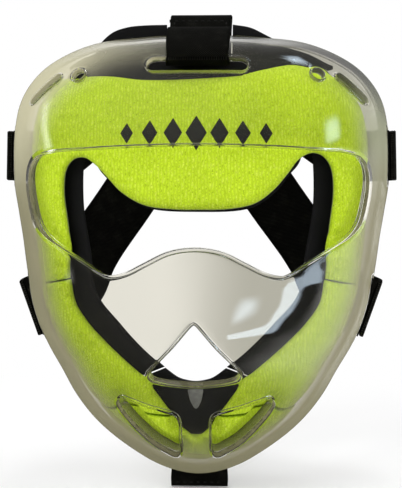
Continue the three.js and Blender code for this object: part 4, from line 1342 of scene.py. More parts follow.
                # A painted shade line along the rim's edge.
                vert[lip_haze_and_shade_marks] = float(distance < self.shade_line_reach)
        bmesh.ops.remove_doubles(bm, verts=[*loop, *back[0]], dist=self.weld)
        for (kind, outline), front_loop, back_loop in zip(openings, loops[1:], back[1:]):
            edge, loop = edges[kind], front_loop
            low = self.lower_share(outline)
            aside = np.abs(unit(offset_outline(outline, 1.0) - outline)[:, 0])
            for distance, height in edge.profile(wall)[1:]:
                flat = offset_outline(outline, distance)
                loop = extend_loop(bm, loop, self._raised(flat, edge.heights(height, low, wall)))
                # The lower inner walls of nose and mouth lips take the dark film, moulded haze with painted
                # shade. The eye's sides, small holes and crown slot get painted shade lines.
                shares = low * (kind in self.hazed_and_shaded_lips and height < -wall - edge.clear)
                fine = distance < self.shade_line_reach
                if kind is Opening.EYE and fine:
                    shares = np.clip(aside * 1.6 - 0.7, 0, 1)
                elif kind in (Opening.SPARE, Opening.VENT) and fine:
                    shares = np.full(len(low), self.small_shade_line)
                elif kind is Opening.CROWN_SLOT and fine:
                    shares = low * self.small_shade_line
                for vert, share in zip(loop, shares):
                    vert[lip_haze_and_shade_marks], vert[bare] = share, 1.0
            bmesh.ops.remove_doubles(bm, verts=[*loop, *back_loop], dist=self.weld)
        places = np.array([vert.co for vert in bm.verts])
        for vert, place in zip(bm.verts, self.form.laid(places[:, :2], places[:, 2])):
            vert.co = place
        settle(bm, "clear_shell", finish, Body.SHELL, Slot.SHELL, "shell", sharp=75)

    def _raised(self, flat: Points, height: Points | float) -> Points:
        """Places on the sheet with their height over it."""
        return np.column_stack([flat, np.broadcast_to(height, len(flat))])

    @staticmethod
    def lower_share(outline: Points) -> Points:
        """How much each place of an opening's outline is a lower edge, from 0 to 1.

        Args:
            outline: The outline's points.

        Returns:
            The share at each point.
        """
        outwards = unit(offset_outline(outline, 1.0) - outline)
        t = np.clip(0.45 - outwards[:, 1] * 0.9, 0, 1)
        share = t * t * (3 - 2 * t)
        for _ in range(4):
            share = (np.roll(share, 1) + 2 * share + np.roll(share, -1)) / 4
        return share

    def lips(self) -> list[tuple[Points, Points]]:
        """How far the lips of the large openings stand behind the wall.

        Returns:
            Each opening's outline in the front view, and its lip's depth at each point of it.
        """
        found, wall = [], self.form.wall
        for kind, shares in self._large():
            edge = self.edges()[kind]
            outline = spaced(curve_points(self.form.place(shares), 8, closed=True), 110, closed=True)
            found.append((outline, -edge.heights(-edge.lip, self.lower_share(outline), wall) - wall))
        return found

    def _field(self, bm: Mesh, rim: Points, collars: Sequence[Points]) -> list[list]:
        """Fills the sheet between the rim and the openings' collars with even triangles.

        Args:
            bm: The mesh to fill.
            rim: Outline of the field.
            collars: Outlines of the holes in it.

        Returns:
            The loops of vertices round the field and round each hole.
        """
        grid = bmesh.new()
        size = np.abs(rim).max() * 1.02
        steps = int(2 * size / self.spacing)
        bmesh.ops.create_grid(grid, x_segments=steps, y_segments=steps, size=size)
        points = np.array([vert.co[:2] for vert in grid.verts])
        grid.free()
        row = np.round((points[:, 1] + size) / (2 * size / steps)).astype(int)
        points[:, 0] += np.where(row % 2 == 1, size / steps, 0)
        kept = inside_field(points, rim, collars)
        for outline in (rim, *collars):
            for part in np.array_split(outline, max(len(outline) // 60, 1)):
                gaps = np.linalg.norm(points[:, None] - part[None], axis=-1).min(axis=1)
                kept &= gaps > self.spacing * 0.55
        ends = [int(end) for end in np.cumsum([0, len(rim), *map(len, collars)])]
        ranges = list(zip(ends[:-1], ends[1:]))
        joins = [(i, i + 1 if i + 1 < last else first) for first, last in ranges for i in range(first, last)]
        coords = [Vector(place) for place in np.concatenate([rim, *collars, points[kept]])]
        verts, _, faces, origins, _, _ = geometry.delaunay_2d_cdt(coords, joins, [], 0, 1e-5, True)
        flat = np.array([v[:] for v in verts])
        inner = inside_field(flat[np.array(faces)].mean(axis=1), rim, collars)
        made = [bm.verts.new((x, y, 0)) for x, y in flat]
        for face, keep in zip(faces, inner):
            if keep:
                bm.faces.new([made[i] for i in face])
        index = {origin: made[i] for i, group in enumerate(origins) for origin in group}
        return [[index[i] for i in range(first, last)] for first, last in ranges]

    def _inner_wall(self, bm: Mesh, loops: Sequence[Sequence]) -> list[list]:
        """Copies the outer wall to the inner one and finds its loops.

        Args:
            bm: The mesh.
            loops: The outer wall's loops.

        Returns:
            The inner wall's loops.
        """
        copied = bmesh.ops.duplicate(bm, geom=[*bm.verts, *bm.edges, *bm.faces])
        twin = copied["vert_map"]
        moved = [v for v in copied["geom"] if isinstance(v, Vert)]
        bmesh.ops.translate(bm, verts=moved, vec=(0, 0, -self.form.wall))
        flipped = [f for f in copied["geom"] if isinstance(f, bmesh.types.BMFace)]
        bmesh.ops.reverse_faces(bm, faces=flipped)
        return [[twin[v] for v in loop] for loop in loops]


# The liner


@dataclass(frozen=True)
class Layer:
    """One layer of the liner: its place and thickness, and how it is filled and drawn in at its edges."""

    word: str
    slot: Slot
    depth: float
    thickness: float
    round: float
    seam: float
    fill: float
    puff: float
    gather: float
    end_round: float
    end_fill: float


class Swell(Enum):
    """How a liner piece is filled."""

    PAD = Layer("cover", Slot.MESH, 0.0, 13.0, 8.0, 2.0, 0.85, 0.7, 0.3, 2.5, 0.72)
    BACKING = Layer("lining", Slot.LINING, 14.0, 4.5, 3.2, 1.2, 0.3, 0.5, 0.12, 5.0, 0.3)


@dataclass
class LinerStrip:
    """A padded strip that follows the inside of the shell between two edges and clears the lips."""

    form: ShellForm
    lips: Lips
    stem: str
    swell: Swell
    pairs: Pairs
    per_span: int
    reach: Share = (0.0, 0.0)
    side: Side | None = None
    gap: float = 0.8
    edge_steps: int = 7
    flat_steps: int = 12
    near_end: tuple[float, ...] = (0.06, 0.18, 0.34, 0.55, 0.8)
    folds: Share = (8.5, 5.3)

    @property
    def name(self) -> str:
        """The piece's name."""
        return f"{self.stem}_{self.swell.value.word}{self.suffix}"

    @property
    def suffix(self) -> str:
        """The side, as it ends a name."""
        return f"_{self.side.word}" if self.side else ""

    def sections(self) -> tuple[list[Points], list[Points]]:
        """Works out the strip's cross-sections.

        Returns:
            The rings of points and their cloth coordinates.
        """
        pairs = np.array(self.pairs, float)
        outer, inner = (
            self._end_steps(self._reaching(curve_points(self.form.place(side), self.per_span)))
            for side in (pairs[:, :2], pairs[:, 2:])
        )
        middle = (outer + inner) / 2
        along = lengths_along(middle)
        ends, layer = np.array([middle[0], middle[-1]]), self.swell.value
        rings, uvs = [], []
        for i in range(len(outer)):
            to_end = min(*np.linalg.norm(middle[i] - ends, axis=1), layer.end_round)
            rounded = math.sqrt(1 - (1 - to_end / layer.end_round) ** 2)
            fullness = layer.end_fill + (1 - layer.end_fill) * rounded
            ring, uv = self._section(outer[i], inner[i], fullness, along[i])
            rings.append(ring)
            uvs.append(uv)
        return rings, uvs

    def _reaching(self, line: Points) -> Points:
        """A line whose ends run on a little towards the next strip.

        Args:
            line: The line's points.

        Returns:
            The longer line.
        """
        line = line.copy()
        first, last = unit(line[0] - line[1]) * self.reach[0], unit(line[-1] - line[-2]) * self.reach[1]
        line[0], line[-1] = line[0] + first, line[-1] + last
        return line

    def _end_steps(self, line: Points) -> Points:
        """A line with closer steps near both ends.

        Args:
            line: The line's points.

        Returns:
            The line with its new points.
        """
        near = np.array(self.near_end)
        first = line[0] + (line[1] - line[0]) * near[:, None]
        last = line[-1] + (line[-2] - line[-1]) * near[::-1, None]
        return np.concatenate([line[:1], first, line[1:-1], last, line[-1:]])

    def _section(self, start: Points, end: Points, fullness: float, along: float) -> tuple[Points, Points]:
        """One cross-section: full in its middle, drawn in to a seam at both edges.

        Args:
            start: Its place on the outer edge.
            end: Its place on the inner edge.
            fullness: How full it is, from 0 to 1.
            along: Its distance from the strip's start.

        Returns:
            The ring of points and their cloth coordinates.
        """
        layer, form = self.swell.value, self.form
        width = float(np.linalg.norm(end - start))
        soft = min(layer.round / width, 0.42)
        turn = np.linspace(0, math.pi / 2, self.edge_steps)
        flats = np.linspace(soft, 1 - soft, self.flat_steps)[1:-1]
        share = np.concatenate([soft * (1 - np.cos(turn)), flats, 1 - soft * (1 - np.cos(turn[::-1]))])
        swell = np.concatenate([np.sin(turn), np.ones(len(flats)), np.sin(turn[::-1])]) * fullness
        front = start + (end - start) * share[:, None]
        wall = form.wall_point(front[:, 0], front[:, 1], -form.wall - self.gap)
        clear = wall if layer.depth > 0 else self._behind_lips(front)
        drawn = (layer.thickness - (clear[:, 1] - wall[:, 1]) - layer.seam) * (1 - swell)
        near = clear.copy()
        near[:, 1] += layer.depth + drawn * 0.6
        far = wall.copy()
        far[:, 1] += layer.depth + layer.thickness - drawn * 0.4
        near[:, 1] += layer.puff * self._puff(near) * swell
        far[:, 1] -= layer.puff * self._puff(far) * swell
        wave = math.cos(along * TURN / self.folds[0]) + 0.6 * math.cos(along * TURN / self.folds[1] + 1)
        pucker = layer.gather * wave * swell * (1 - swell) * 4
        near[:, 1] += np.maximum(pucker, -0.4)
        far[:, 1] -= pucker
        ring = np.concatenate([near, far[::-1]])
        return ring, self._cloth(ring, front)

    def _behind_lips(self, front: Points) -> Points:
        """Places just behind the wall, and behind the lips where they are near.

        Args:
            front: Places of the front view.

        Returns:
            The points in space.
        """
        rise = np.zeros(len(front))
        for outline, lip in self.lips:
            t = np.clip((np.linalg.norm(front[:, None] - outline[None], axis=-1) - 2.6) / 5, 0, 1)
            rise = np.maximum(rise, (lip[None] * (1 - t * t * (3 - 2 * t))).max(axis=1))
        return self.form.wall_point(front[:, 0], front[:, 1], -self.form.wall - self.gap - rise)

    def _puff(self, points: Points) -> Points:
        """Soft unevenness of the filling, from 0 to 1."""
        raised = [noise.noise(Vector(p) * 0.055) + 0.4 * noise.noise(Vector(p) * 0.16) for p in points]
        return np.clip(0.5 + 0.6 * np.array(raised), 0, 1)

    def _cloth(self, ring: Points, front: Points) -> Points:
        """Cloth coordinates round a section, laid out from its front middle both ways.

        Args:
            ring: The section's points.
            front: Their places in the front view, from edge to edge.

        Returns:
            The coordinates, with the first again at the end.
        """
        sheet = self.form.sheet_from_front(front)
        across = unit((sheet[-1] - sheet[0])[None])[0]
        count = len(front)
        middle = count // 2
        run = lengths_along(np.concatenate([ring, ring[:1]]))
        run = run - run[middle]
        back = count + count // 2
        run[back + 1 :] -= run[-1] - run[0]
        uv = sheet[middle] + run[:, None] * across
        uv[-1] = uv[0]
        return uv

    def build(self, finish: Material) -> None:
        """Makes the strip.

        Args:
            finish: Its material.
        """
        bm = bmesh.new()
        rings, uvs = self.sections()
        sweep(bm, rings, uvs)
        layer = self.swell.value
        piece = settle(bm, self.name, finish, Body.SHELL, layer.slot, self.stem + self.suffix)


@dataclass
class EdgeTape:
    """A narrow edging that lies on the seam along a strip's inner edge."""

    strip: LinerStrip
    width: float = 2.2
    thickness: float = 1.2
    setback: float = 0.3

    def build(self, finish: Material) -> None:
        """Makes the edging.

        Args:
            finish: Its material.
        """
        rings = self.strip.sections()[0][2:-2]
        half = len(rings[0]) // 2
        line = np.array([(ring[half - 1] + ring[half]) / 2 for ring in rings])
        inwards = unit(np.array([ring[half - 1] - ring[half - 3] for ring in rings]) * (1, 0, 1))
        line = line - inwards * self.setback
        turns = np.linspace(0, TURN, 8, endpoint=False)
        back = np.outer(np.sin(turns), (0, 1, 0)) * self.width / 2
        thick = np.cos(turns)[:, None] * self.thickness / 2
        tube = [centre + thick * out + back for centre, out in zip(line, inwards)]
        bm = bmesh.new()
        sweep(bm, tube)
        settle(bm, f"{self.strip.name}_edging", finish, Body.SHELL, Slot.MESH)


def mirror_pairs(pairs: Pairs) -> Pairs:
    """The pairs of places on the other side."""
    return tuple((-x0, z0, -x1, z1) for x0, z0, x1, z1 in pairs)


def whole_pairs(pairs: Pairs) -> Pairs:
    """The pairs of a piece that crosses the middle line, from its right half."""
    return (*pairs, *mirror_pairs(pairs[:-1])[::-1])


@dataclass
class Liner:
    """Pads, backings, crown flap and chin patch bonded inside the shell.

    A strip's table holds pairs of places: one on its outer edge and one on its inner edge, as shares of the
    front view. The flap's table holds shares across, of its upper edge and of its lower edge.
    """

    form: ShellForm
    finishes: Finishes
    lips: Lips
    brow_pad: Pairs = (
        (-0.849, -0.163, -0.656, -0.125), (-0.877, 0.071, -0.67, 0.071), (-0.884, 0.287, -0.694, 0.265),
        (-0.88, 0.47, -0.679, 0.363), (-0.858, 0.62, -0.636, 0.412), (-0.812, 0.728, -0.579, 0.42),
        (-0.725, 0.797, -0.517, 0.385), (-0.574, 0.812, -0.45, 0.323), (-0.44, 0.809, -0.383, 0.261),
        (-0.287, 0.79, -0.268, 0.204), (-0.115, 0.789, -0.124, 0.186), (0.038, 0.796, 0.019, 0.184),
        (0.201, 0.81, 0.172, 0.188), (0.354, 0.845, 0.297, 0.212), (0.478, 0.867, 0.392, 0.274),
        (0.574, 0.854, 0.459, 0.345), (0.685, 0.82, 0.517, 0.412), (0.785, 0.755, 0.584, 0.442),
        (0.853, 0.64, 0.646, 0.425), (0.884, 0.49, 0.687, 0.367), (0.887, 0.287, 0.701, 0.261),
        (0.88, 0.071, 0.679, 0.071), (0.849, -0.163, 0.656, -0.125),
    )
    cheek_pad: Pairs = (
        (0.846, -0.175, 0.651, -0.139), (0.812, -0.278, 0.627, -0.234), (0.757, -0.382, 0.55, -0.323),
        (0.685, -0.485, 0.464, -0.391), (0.62, -0.572, 0.368, -0.46), (0.57, -0.628, 0.254, -0.544),
        (0.515, -0.672, 0.12, -0.698),
    )
    chin_pad: Pairs = (
        (0.503, -0.697, 0.109, -0.724), (0.425, -0.775, 0.082, -0.772), (0.3, -0.855, 0.05, -0.79),
        (0.15, -0.915, 0.02, -0.796), (0, -0.93, 0, -0.797),
    )
    brow_backing: Pairs = (
        (-0.725, 0.775, -0.538, 0.566), (-0.665, 0.848, -0.522, 0.389), (-0.555, 0.876, -0.455, 0.31),
        (-0.421, 0.898, -0.373, 0.243), (-0.268, 0.907, -0.258, 0.188), (0, 0.912, 0, 0.171),
        (0.268, 0.907, 0.278, 0.188), (0.421, 0.898, 0.397, 0.257), (0.555, 0.876, 0.464, 0.332),
        (0.665, 0.848, 0.524, 0.403), (0.725, 0.775, 0.538, 0.566),
    )
    side_backing: Pairs = (
        (0.745, 0.66, 0.572, 0.5), (0.794, 0.46, 0.591, 0.407), (0.809, 0.221, 0.595, 0.195),
        (0.799, 0, 0.56, -0.008), (0.766, -0.161, 0.517, -0.198), (0.684, -0.347, 0.392, -0.319),
        (0.555, -0.5, 0.268, -0.423), (0.464, -0.613, 0.167, -0.496),
    )
    chin_backing: Pairs = (
        (0.461, -0.62, 0.162, -0.502), (0.354, -0.738, 0.091, -0.544), (0.191, -0.819, 0.043, -0.556),
        (0, -0.851, 0, -0.56),
    )
    flap: tuple[tuple[float, float, float], ...] = (
        (-0.699, 0.872, 0.852), (-0.632, 0.91, 0.838), (-0.56, 0.938, 0.834), (-0.52, 0.985, 0.835),
        (-0.46, 1.028, 0.838), (-0.38, 1.05, 0.842), (-0.29, 1.056, 0.845), (-0.171, 1.056, 0.849),
        (-0.168, 0.9, 0.849), (0, 0.9, 0.85), (0.168, 0.9, 0.849), (0.171, 1.056, 0.849),
        (0.262, 1.043, 0.848), (0.345, 1.008, 0.845), (0.44, 0.966, 0.838), (0.574, 0.926, 0.834),
        (0.67, 0.881, 0.842), (0.699, 0.872, 0.852),
    )
    flap_thickness: float = 3.4
    flap_behind_rim: float = 0.5
    patch_width: float = 8.0
    patch_height: float = 12.0
    patch_top: float = 72.0
    patch_thickness: float = 1.0
    patch_depth: float = 12.4
    patch_profile: tuple[Share, ...] = (
        (0.4, 0), (0.9, 0), (0.97, 0.15), (1, 0.5), (0.97, 0.85), (0.9, 1), (0.4, 1),
    )
    seam_reach: float = 0.5
    crease_reach: float = 1.3

    def build(self) -> None:
        """Makes every piece of the liner."""
        seam, crease, finishes = self.seam_reach, self.crease_reach, self.finishes
        chin_pad, chin_backing = whole_pairs(self.chin_pad), whole_pairs(self.chin_backing)
        brow = self._strip("brow_pad", Swell.PAD, self.brow_pad, 7, (seam, seam))
        brow.build(finishes.printed)
        self._strip("chin_pad", Swell.PAD, chin_pad, 9, (crease, crease)).build(finishes.mesh)
        self._strip("brow_backing", Swell.BACKING, self.brow_backing, 8).build(finishes.lining)
        self._strip("chin_backing", Swell.BACKING, chin_backing, 12).build(finishes.lining)
        EdgeTape(brow).build(finishes.edging)
        for side in Side:
            turned = mirror_pairs if side is Side.LEFT else tuple
            pad = self._strip("cheek_pad", Swell.PAD, turned(self.cheek_pad), 10, (seam, crease), side)
            pad.build(finishes.mesh)
            backing = self._strip("side_backing", Swell.BACKING, turned(self.side_backing), 10, side=side)
            backing.build(finishes.lining)
        self._crown_flap()
        self._chin_patch()

    def _strip(self, *layout: object, **more: object) -> LinerStrip:
        """A strip inside this shell, given what a LinerStrip needs."""
        return LinerStrip(self.form, self.lips, *layout, **more)

    def _rim_depth(self, x: float) -> float:
        """The rim's depth above a place of the crown."""
        turn = halved(0.0, math.pi, lambda turn: self.form.rim_front(turn)[0] <= x)
        return float(self.form.rim_point(turn)[1])

    def _crown_flap(self) -> None:
        """The thin flap that stands up behind the crown on both sides of the strap."""
        left, notch, right = (np.array(self.flap[a:b]) for a, b in ((0, 8), (8, 11), (11, 18)))
        table = np.concatenate([curve_points(left, 5), notch, curve_points(right, 5)])
        half, turns = self.flap_thickness / 2, np.linspace(0, math.pi, 7)
        rings = []
        for across, upper, lower in table:
            x = across * self.form.half_width
            top, low = upper * self.form.crown_height, lower * self.form.crown_height
            middle = self._rim_depth(x) + self.flap_behind_rim + half
            heights = np.concatenate([top - half + np.sin(turns) * half, low + half - np.sin(turns) * half])
            depths = middle + np.concatenate([np.cos(turns), -np.cos(turns)]) * half
            rings.append(np.column_stack([np.full(len(depths), x), depths, heights]))
        bm = bmesh.new()
        sweep(bm, rings)
        lining = self.finishes.lining
        piece = settle(bm, "crown_flap_lining", lining, Body.SHELL, Slot.LINING, "crown_flap")

    def _chin_patch(self) -> None:
        """The small grey patch in the middle of the chin lining."""
        half, top, tall = self.patch_width / 2, self.patch_top, self.patch_height
        right = [(half, -top), (half * 0.92, -top - tall * 0.35), (half * 0.7, -top - tall * 0.66)]
        corners = np.array([(-half, -top), *right, (0, -top - tall), *[(-x, z) for x, z in right[:0:-1]]])
        outline = spaced(curve_points(corners, 6, closed=True), 48, closed=True)
        centre = outline.mean(axis=0)
        rings = []
        for scale, depth in self.patch_profile:
            flat = centre + (outline - centre) * scale
            points = self.form.wall_point(flat[:, 0], flat[:, 1], -self.form.wall - 0.8)
            points[:, 1] += self.patch_depth - depth * self.patch_thickness + self.patch_thickness * 0.5
            rings.append(points)
        bm = bmesh.new()
        sweep(bm, rings)
        settle(bm, "chin_patch_vinyl", self.finishes.vinyl, Body.SHELL, Slot.PATCH, "chin_patch")


# The harness


@dataclass
class StrapSeat:
    """Where a strap passes through the shell: its slot, and the plane in which strap and tab run."""

    form: ShellForm
    angle: float
    inset: float
    slot_length: float
    slot_width: float
    slot_corner: float
    strap_width: float
    inside: float
    lay: float
    lay_angle: float
    stand_off: float
    crown: bool = False
    strap_thickness: float = 2.2
    tab_thickness: float = 2.4
    edge_clearance: float = 0.6
    bend: float = 2.6
    hinge_height: float = 1.8
    touch: float = 0.4
    patch_thickness: float = 1.0
    overhang: float = 2.5
    end_margin: float = 2.0

    def __post_init__(self) -> None:
        """Finds the rim, the slot and the directions in the seat's plane."""
        self.rim = self.form.rim_point(self.angle)
        along = self.form.rim_point(self.angle + 0.001) - self.form.rim_point(self.angle - 0.001)
        tangent = unit(np.array([[along[0], along[2]]]))[0]
        self.outward = np.array([tangent[1], 0, -tangent[0]])
        self.lengthwise = unit(np.cross([0.0, 1.0, 0.0], self.outward)[None])[0]
        depth = self.rim[1] - self.inset
        rise = self.surface_at(depth + 0.02) - self.surface_at(depth - 0.02)
        self.rearward = unit(np.array([[0.04, rise]]))[0]
        self.normal = np.array([-self.rearward[1], self.rearward[0]])
        self.slot = np.array([depth, self.surface_at(depth)])
        self.slot_place = self.to_space(self.slot[None])[0]
        normal = self.to_space((self.slot + self.normal)[None])[0] - self.slot_place
        self.crosswise = np.cross(normal, self.lengthwise)

    def surface_at(self, depth: float) -> float:
        """Distance of the outer surface from the rim, along the outward direction, at a depth.

        Args:
            depth: The depth.

        Returns:
            The distance, below zero inside the rim.
        """

        def past(reach: float) -> bool:
            """Whether the surface at a reach lies deeper than that."""
            x, _, z = self.rim + self.outward * reach
            return float(self.form.surface_depth(x, z)) > depth

        return halved(-float(np.linalg.norm(self.rim)), 0.0, past)

    def to_space(self, points: Points) -> Points:
        """Places in the seat's plane, given by depth and distance outwards from the rim, in space."""
        base = np.array([self.rim[0], 0, self.rim[2]])
        return base + points[:, :1] * np.array([0.0, 1.0, 0.0]) + points[:, 1:] * self.outward

    def local(self, back: float, out: float) -> Points:
        """A place in the seat's plane measured from the slot."""
        return self.slot + self.rearward * back + self.normal * out

    @property
    def hinge_back(self) -> float:
        """Where the strap and the tab cross the slot, against its rear edge."""
        return self.slot_width / 2 - self.strap_thickness / 2 - self.edge_clearance

    @property
    def lay_along(self) -> Points:
        """Direction of the strap behind the rim."""
        turn = math.radians(self.lay_angle)
        return np.array([math.cos(turn), -math.sin(turn)])

    @property
    def rim_inside(self) -> Points:
        """Where the strap leaves the shell behind the rim."""
        return np.array([self.rim[1] + self.strap_thickness, -self.form.wall - self.inside])

    def strap_path(self) -> Points:
        """The strap's path in the plane, from the slot's mouth to the end of the part under the tab.

        Returns:
            Depth and distance outwards of each point.
        """
        back, inside = self.hinge_back, -self.form.wall - self.inside
        path = [self.local(back, self.hinge_height - self.tab_thickness / 2 - self.touch)]
        for i in range(4):
            turn = i / 3 * math.pi / 2
            bent = self.bend * (1 - math.cos(turn)), self.bend * (1 - math.sin(turn))
            path.append(self.local(back + bent[0], inside + bent[1]))
        middle = (self.slot[0] + back + self.bend + self.rim[1]) / 2
        path.append(np.array([middle, self.surface_at(middle) + inside]))
        for i in range(5):
            path.append(self.rim_inside + self.lay_along * (self.lay * i / 3))
        return np.array(path)

    def tab_path(self) -> Points:
        """The tab's path in the plane, from its hinge out over the rim and down onto the strap.

        Returns:
            Depth and distance outwards of each point.
        """
        over = self.stand_off + self.tab_thickness / 2
        middle = (self.slot[0] + self.rim[1]) / 2 + self.tab_thickness
        square = np.array([-self.lay_along[1], self.lay_along[0]])
        lift = self.strap_thickness / 2 + self.tab_thickness / 2 + self.patch_thickness + 2 * self.touch
        spots = (self.lay * 0.45, self.lay * 0.7, self.lay - self.end_margin)
        landed = [self.rim_inside + self.lay_along * spot + square * lift for spot in spots]
        return np.array([
            self.local(self.hinge_back, self.hinge_height),
            self.local(self.hinge_back + self.tab_thickness * 0.75, over),
            np.array([middle, self.surface_at(middle) + over]),
            np.array([self.rim[1] + self.overhang, over]),
            *landed,
        ])


@dataclass
class Webbing:
    """A flat woven band of one width and thickness."""

    width: float
    thickness: float
    edge: float = 0.75

    def section(self, narrow: float = 1.0) -> Points:
        """Cross-section round the band: places across it and through it.

        Args:
            narrow: Share of its width.

        Returns:
            The section's points.
        """
        half, thin = self.width / 2 * narrow, self.thickness / 2
        flats = np.linspace(-half + self.edge, half - self.edge, 9)
        turn = np.linspace(-math.pi / 2, math.pi / 2, 5)[1:-1]
        right = np.stack([half - self.edge + self.edge * np.cos(turn), thin * np.sin(turn)], -1)
        left = np.stack([-half + self.edge - self.edge * np.cos(turn), -thin * np.sin(turn)], -1)
        lower = np.stack([flats, np.full(9, -thin)], -1)
        upper = np.stack([flats[::-1], np.full(9, thin)], -1)
        return np.concatenate([lower, right, upper, left])

    def rings(self, line: Points, across: Points, narrow: Points, start: float = 0.0) -> tuple[list, list]:
        """Rings of points along a line.

        Args:
            line: Middles of the band.
            across: Direction of its width at each middle.
            narrow: Share of its width at each middle.
            start: Cloth coordinate at which the band begins.

        Returns:
            The rings and their cloth coordinates.
        """
        along = lengths_along(line) + start
        tangents = unit(np.gradient(line, axis=0))
        made, uvs = [], []
        for middle, direction, tangent, run, share in zip(line, across, tangents, along, narrow):
            normal = unit(np.cross(tangent, direction)[None])[0]
            section = self.section(share)
            made.append(middle + section[:, :1] * direction + section[:, 1:] * normal)
            reach = np.concatenate([section[:, 0], section[:1, 0]])
            uvs.append(np.stack([reach, np.full(len(reach), run)], -1))
        return made, uvs


@dataclass
class Strap:
    """One elastic strap with its return tab, hook patch and stitches."""

    finishes: Finishes
    name: str
    seat: StrapSeat
    path: tuple[tuple[float, float, float], ...]
    side: Side
    end_body: Body
    end_depth: float = 150.5
    rear_depth: float = 152.0
    lean: float = 3.6
    seams: Share = (15.0, 3.0)
    seam_inset: float = 3.0

    @property
    def suffix(self) -> str:
        """End of the names of this strap's solids."""
        return "" if self.seat.crown else f"_{self.side.word}"

    def middles(self) -> tuple[Points, Points]:
        """Middles of the strap and the direction of its width at each.

        Returns:
            The middles and the directions.
        """
        seat, form = self.seat, self.seat.form
        in_plane = seat.to_space(seat.strap_path())
        free = []
        for across, back, up in self.path:
            x, z = form.place([(across * self.side.value, up)])[0]
            lean = -self.lean * smoothstep(back * self.rear_depth, self.rear_depth / 2, self.rear_depth)
            free.append((x + lean, back * self.end_depth, z))
        dense = curve_points(np.concatenate([in_plane, free]), 6)
        plane_end = (len(in_plane) - 1) * 6
        middles = np.concatenate([dense[: plane_end + 1 : 3], dense[plane_end + 2 :: 2]])
        middles[:, 1] = np.minimum(middles[:, 1], self.end_depth)
        last = len(middles) - 1
        plane_count = plane_end // 3 + 1
        end_across = unit(np.cross([0.0, 1.0, 0.0], middles[last] - middles[last - 1])[None])[0]
        sign = np.sign(seat.lengthwise.dot(end_across))
        directions = []
        for i in range(last + 1):
            tangent = unit((middles[min(i + 1, last)] - middles[max(i - 1, 0)])[None])[0]
            share = smoothstep(i, plane_count - 1, last - 3)
            across = seat.lengthwise * sign * (1 - share) + end_across * share
            across = across - tangent * across.dot(tangent) * (1 - share)
            directions.append(unit(across[None])[0])
        return middles, np.array(directions)

    def build(self) -> None:
        """Makes the strap, its tab and their stitches."""
        middles, directions = self.middles()
        line = curve_points(middles, 3)
        line[:, 1] = np.minimum(line[:, 1], self.end_depth)
        across = unit(curve_points(directions, 3))
        run = lengths_along(line)
        narrow = 1 - 0.035 * np.exp(-((run / 7) ** 2)) + 0.008 * np.sin(run / 9)
        band = Webbing(self.seat.strap_width, self.seat.strap_thickness)
        bm = bmesh.new()
        sweep(bm, *band.rings(line, across, narrow))
        piece = finish_mesh(bm, f"{self.name}_strap_webbing{self.suffix}", self.finishes.webbing)
        start = self.seat.to_space(self.seat.strap_path())[-1]
        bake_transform(piece)
        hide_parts(f"{self.name}_strap{self.suffix}")
        LOG.info("%s bends between %s and %s", piece.name, Body.SHELL.value, Body.HARNESS.value)
        self._tab()

    def _tab(self) -> None:
        """The end that comes out through the slot and folds back, with its stitches and hook patch."""
        seat = self.seat
        plane = spaced(curve_points(seat.tab_path(), 12), 46)
        tangents = unit(np.gradient(plane, axis=0))
        line = seat.to_space(plane)
        across = np.tile(seat.lengthwise, (len(line), 1))
        run = lengths_along(line)
        total = run[-1]
        narrow = 1 - 0.04 * np.exp(-((run / 6) ** 2)) + 0.012 * np.exp(-(((run - total * 0.55) / 6) ** 2))
        layer = Webbing(seat.strap_width * 0.97, seat.tab_thickness * 0.48, edge=0.5)
        square = np.stack([-tangents[:, 1], tangents[:, 0]], -1)
        bm = bmesh.new()
        for sign in (-1, 1):
            shift = square * seat.tab_thickness * 0.25 * sign
            shift[0] *= 0.4
            fold = seat.to_space(plane + shift)
            sweep(bm, *layer.rings(fold, across, narrow, start=7.0 * sign))
        self._hem(bm, plane, tangents, seat.strap_width)
        name, suffix, finishes = f"{self.name}_tab", self.suffix, self.finishes
        settle(bm, f"{name}_webbing{suffix}", finishes.webbing, self.end_body, Slot.WEBBING, name + suffix)
        bm = bmesh.new()
        half = seat.lengthwise * (seat.strap_width / 2 - self.seam_inset)
        places = seat.to_space(plane + square * (seat.tab_thickness / 2 + 0.05))
        first, last = (int(np.searchsorted(run, total - back)) for back in self.seams)
        for at in (last, first):
            Seam().sew(bm, np.array([places[at] - half, places[at] + half]))
        for sign in (-1, 1):
            Seam().sew(bm, places[first : last + 1] + half * sign)
        settle(bm, f"{name}_stitches{suffix}", finishes.black_thread, self.end_body, Slot.WEBBING)
        for held in bpy.data.objects[f"{name}_hook_patch{suffix}"].material_slots:
            held.material = finishes.hook

    def _hem(self, bm: Mesh, plane: Points, tangents: Points, width: float) -> None:
        """The folded hem that closes the tab's free end.

        Args:
            bm: The mesh.
            plane: The tab's path in the seat's plane.
            tangents: Its directions.
            width: The tab's width.
        """
        end, tangent = plane[-1], tangents[-1]
        square = np.array([-tangent[1], tangent[0]])
        turns = np.linspace(0, TURN, 10, endpoint=False)
        radius = self.seat.tab_thickness / 2
        ring = end + np.outer(np.cos(turns) * 0.9 - 0.5, tangent) + np.outer(np.sin(turns) * radius, square)
        rings = []
        for share in np.linspace(-1, 1, 9):
            thin = 1 - 0.25 * abs(share) ** 6
            aside = self.seat.lengthwise * share * width / 2
            rings.append(self.seat.to_space(end + (ring - end) * thin) + aside)
        sweep(bm, rings)


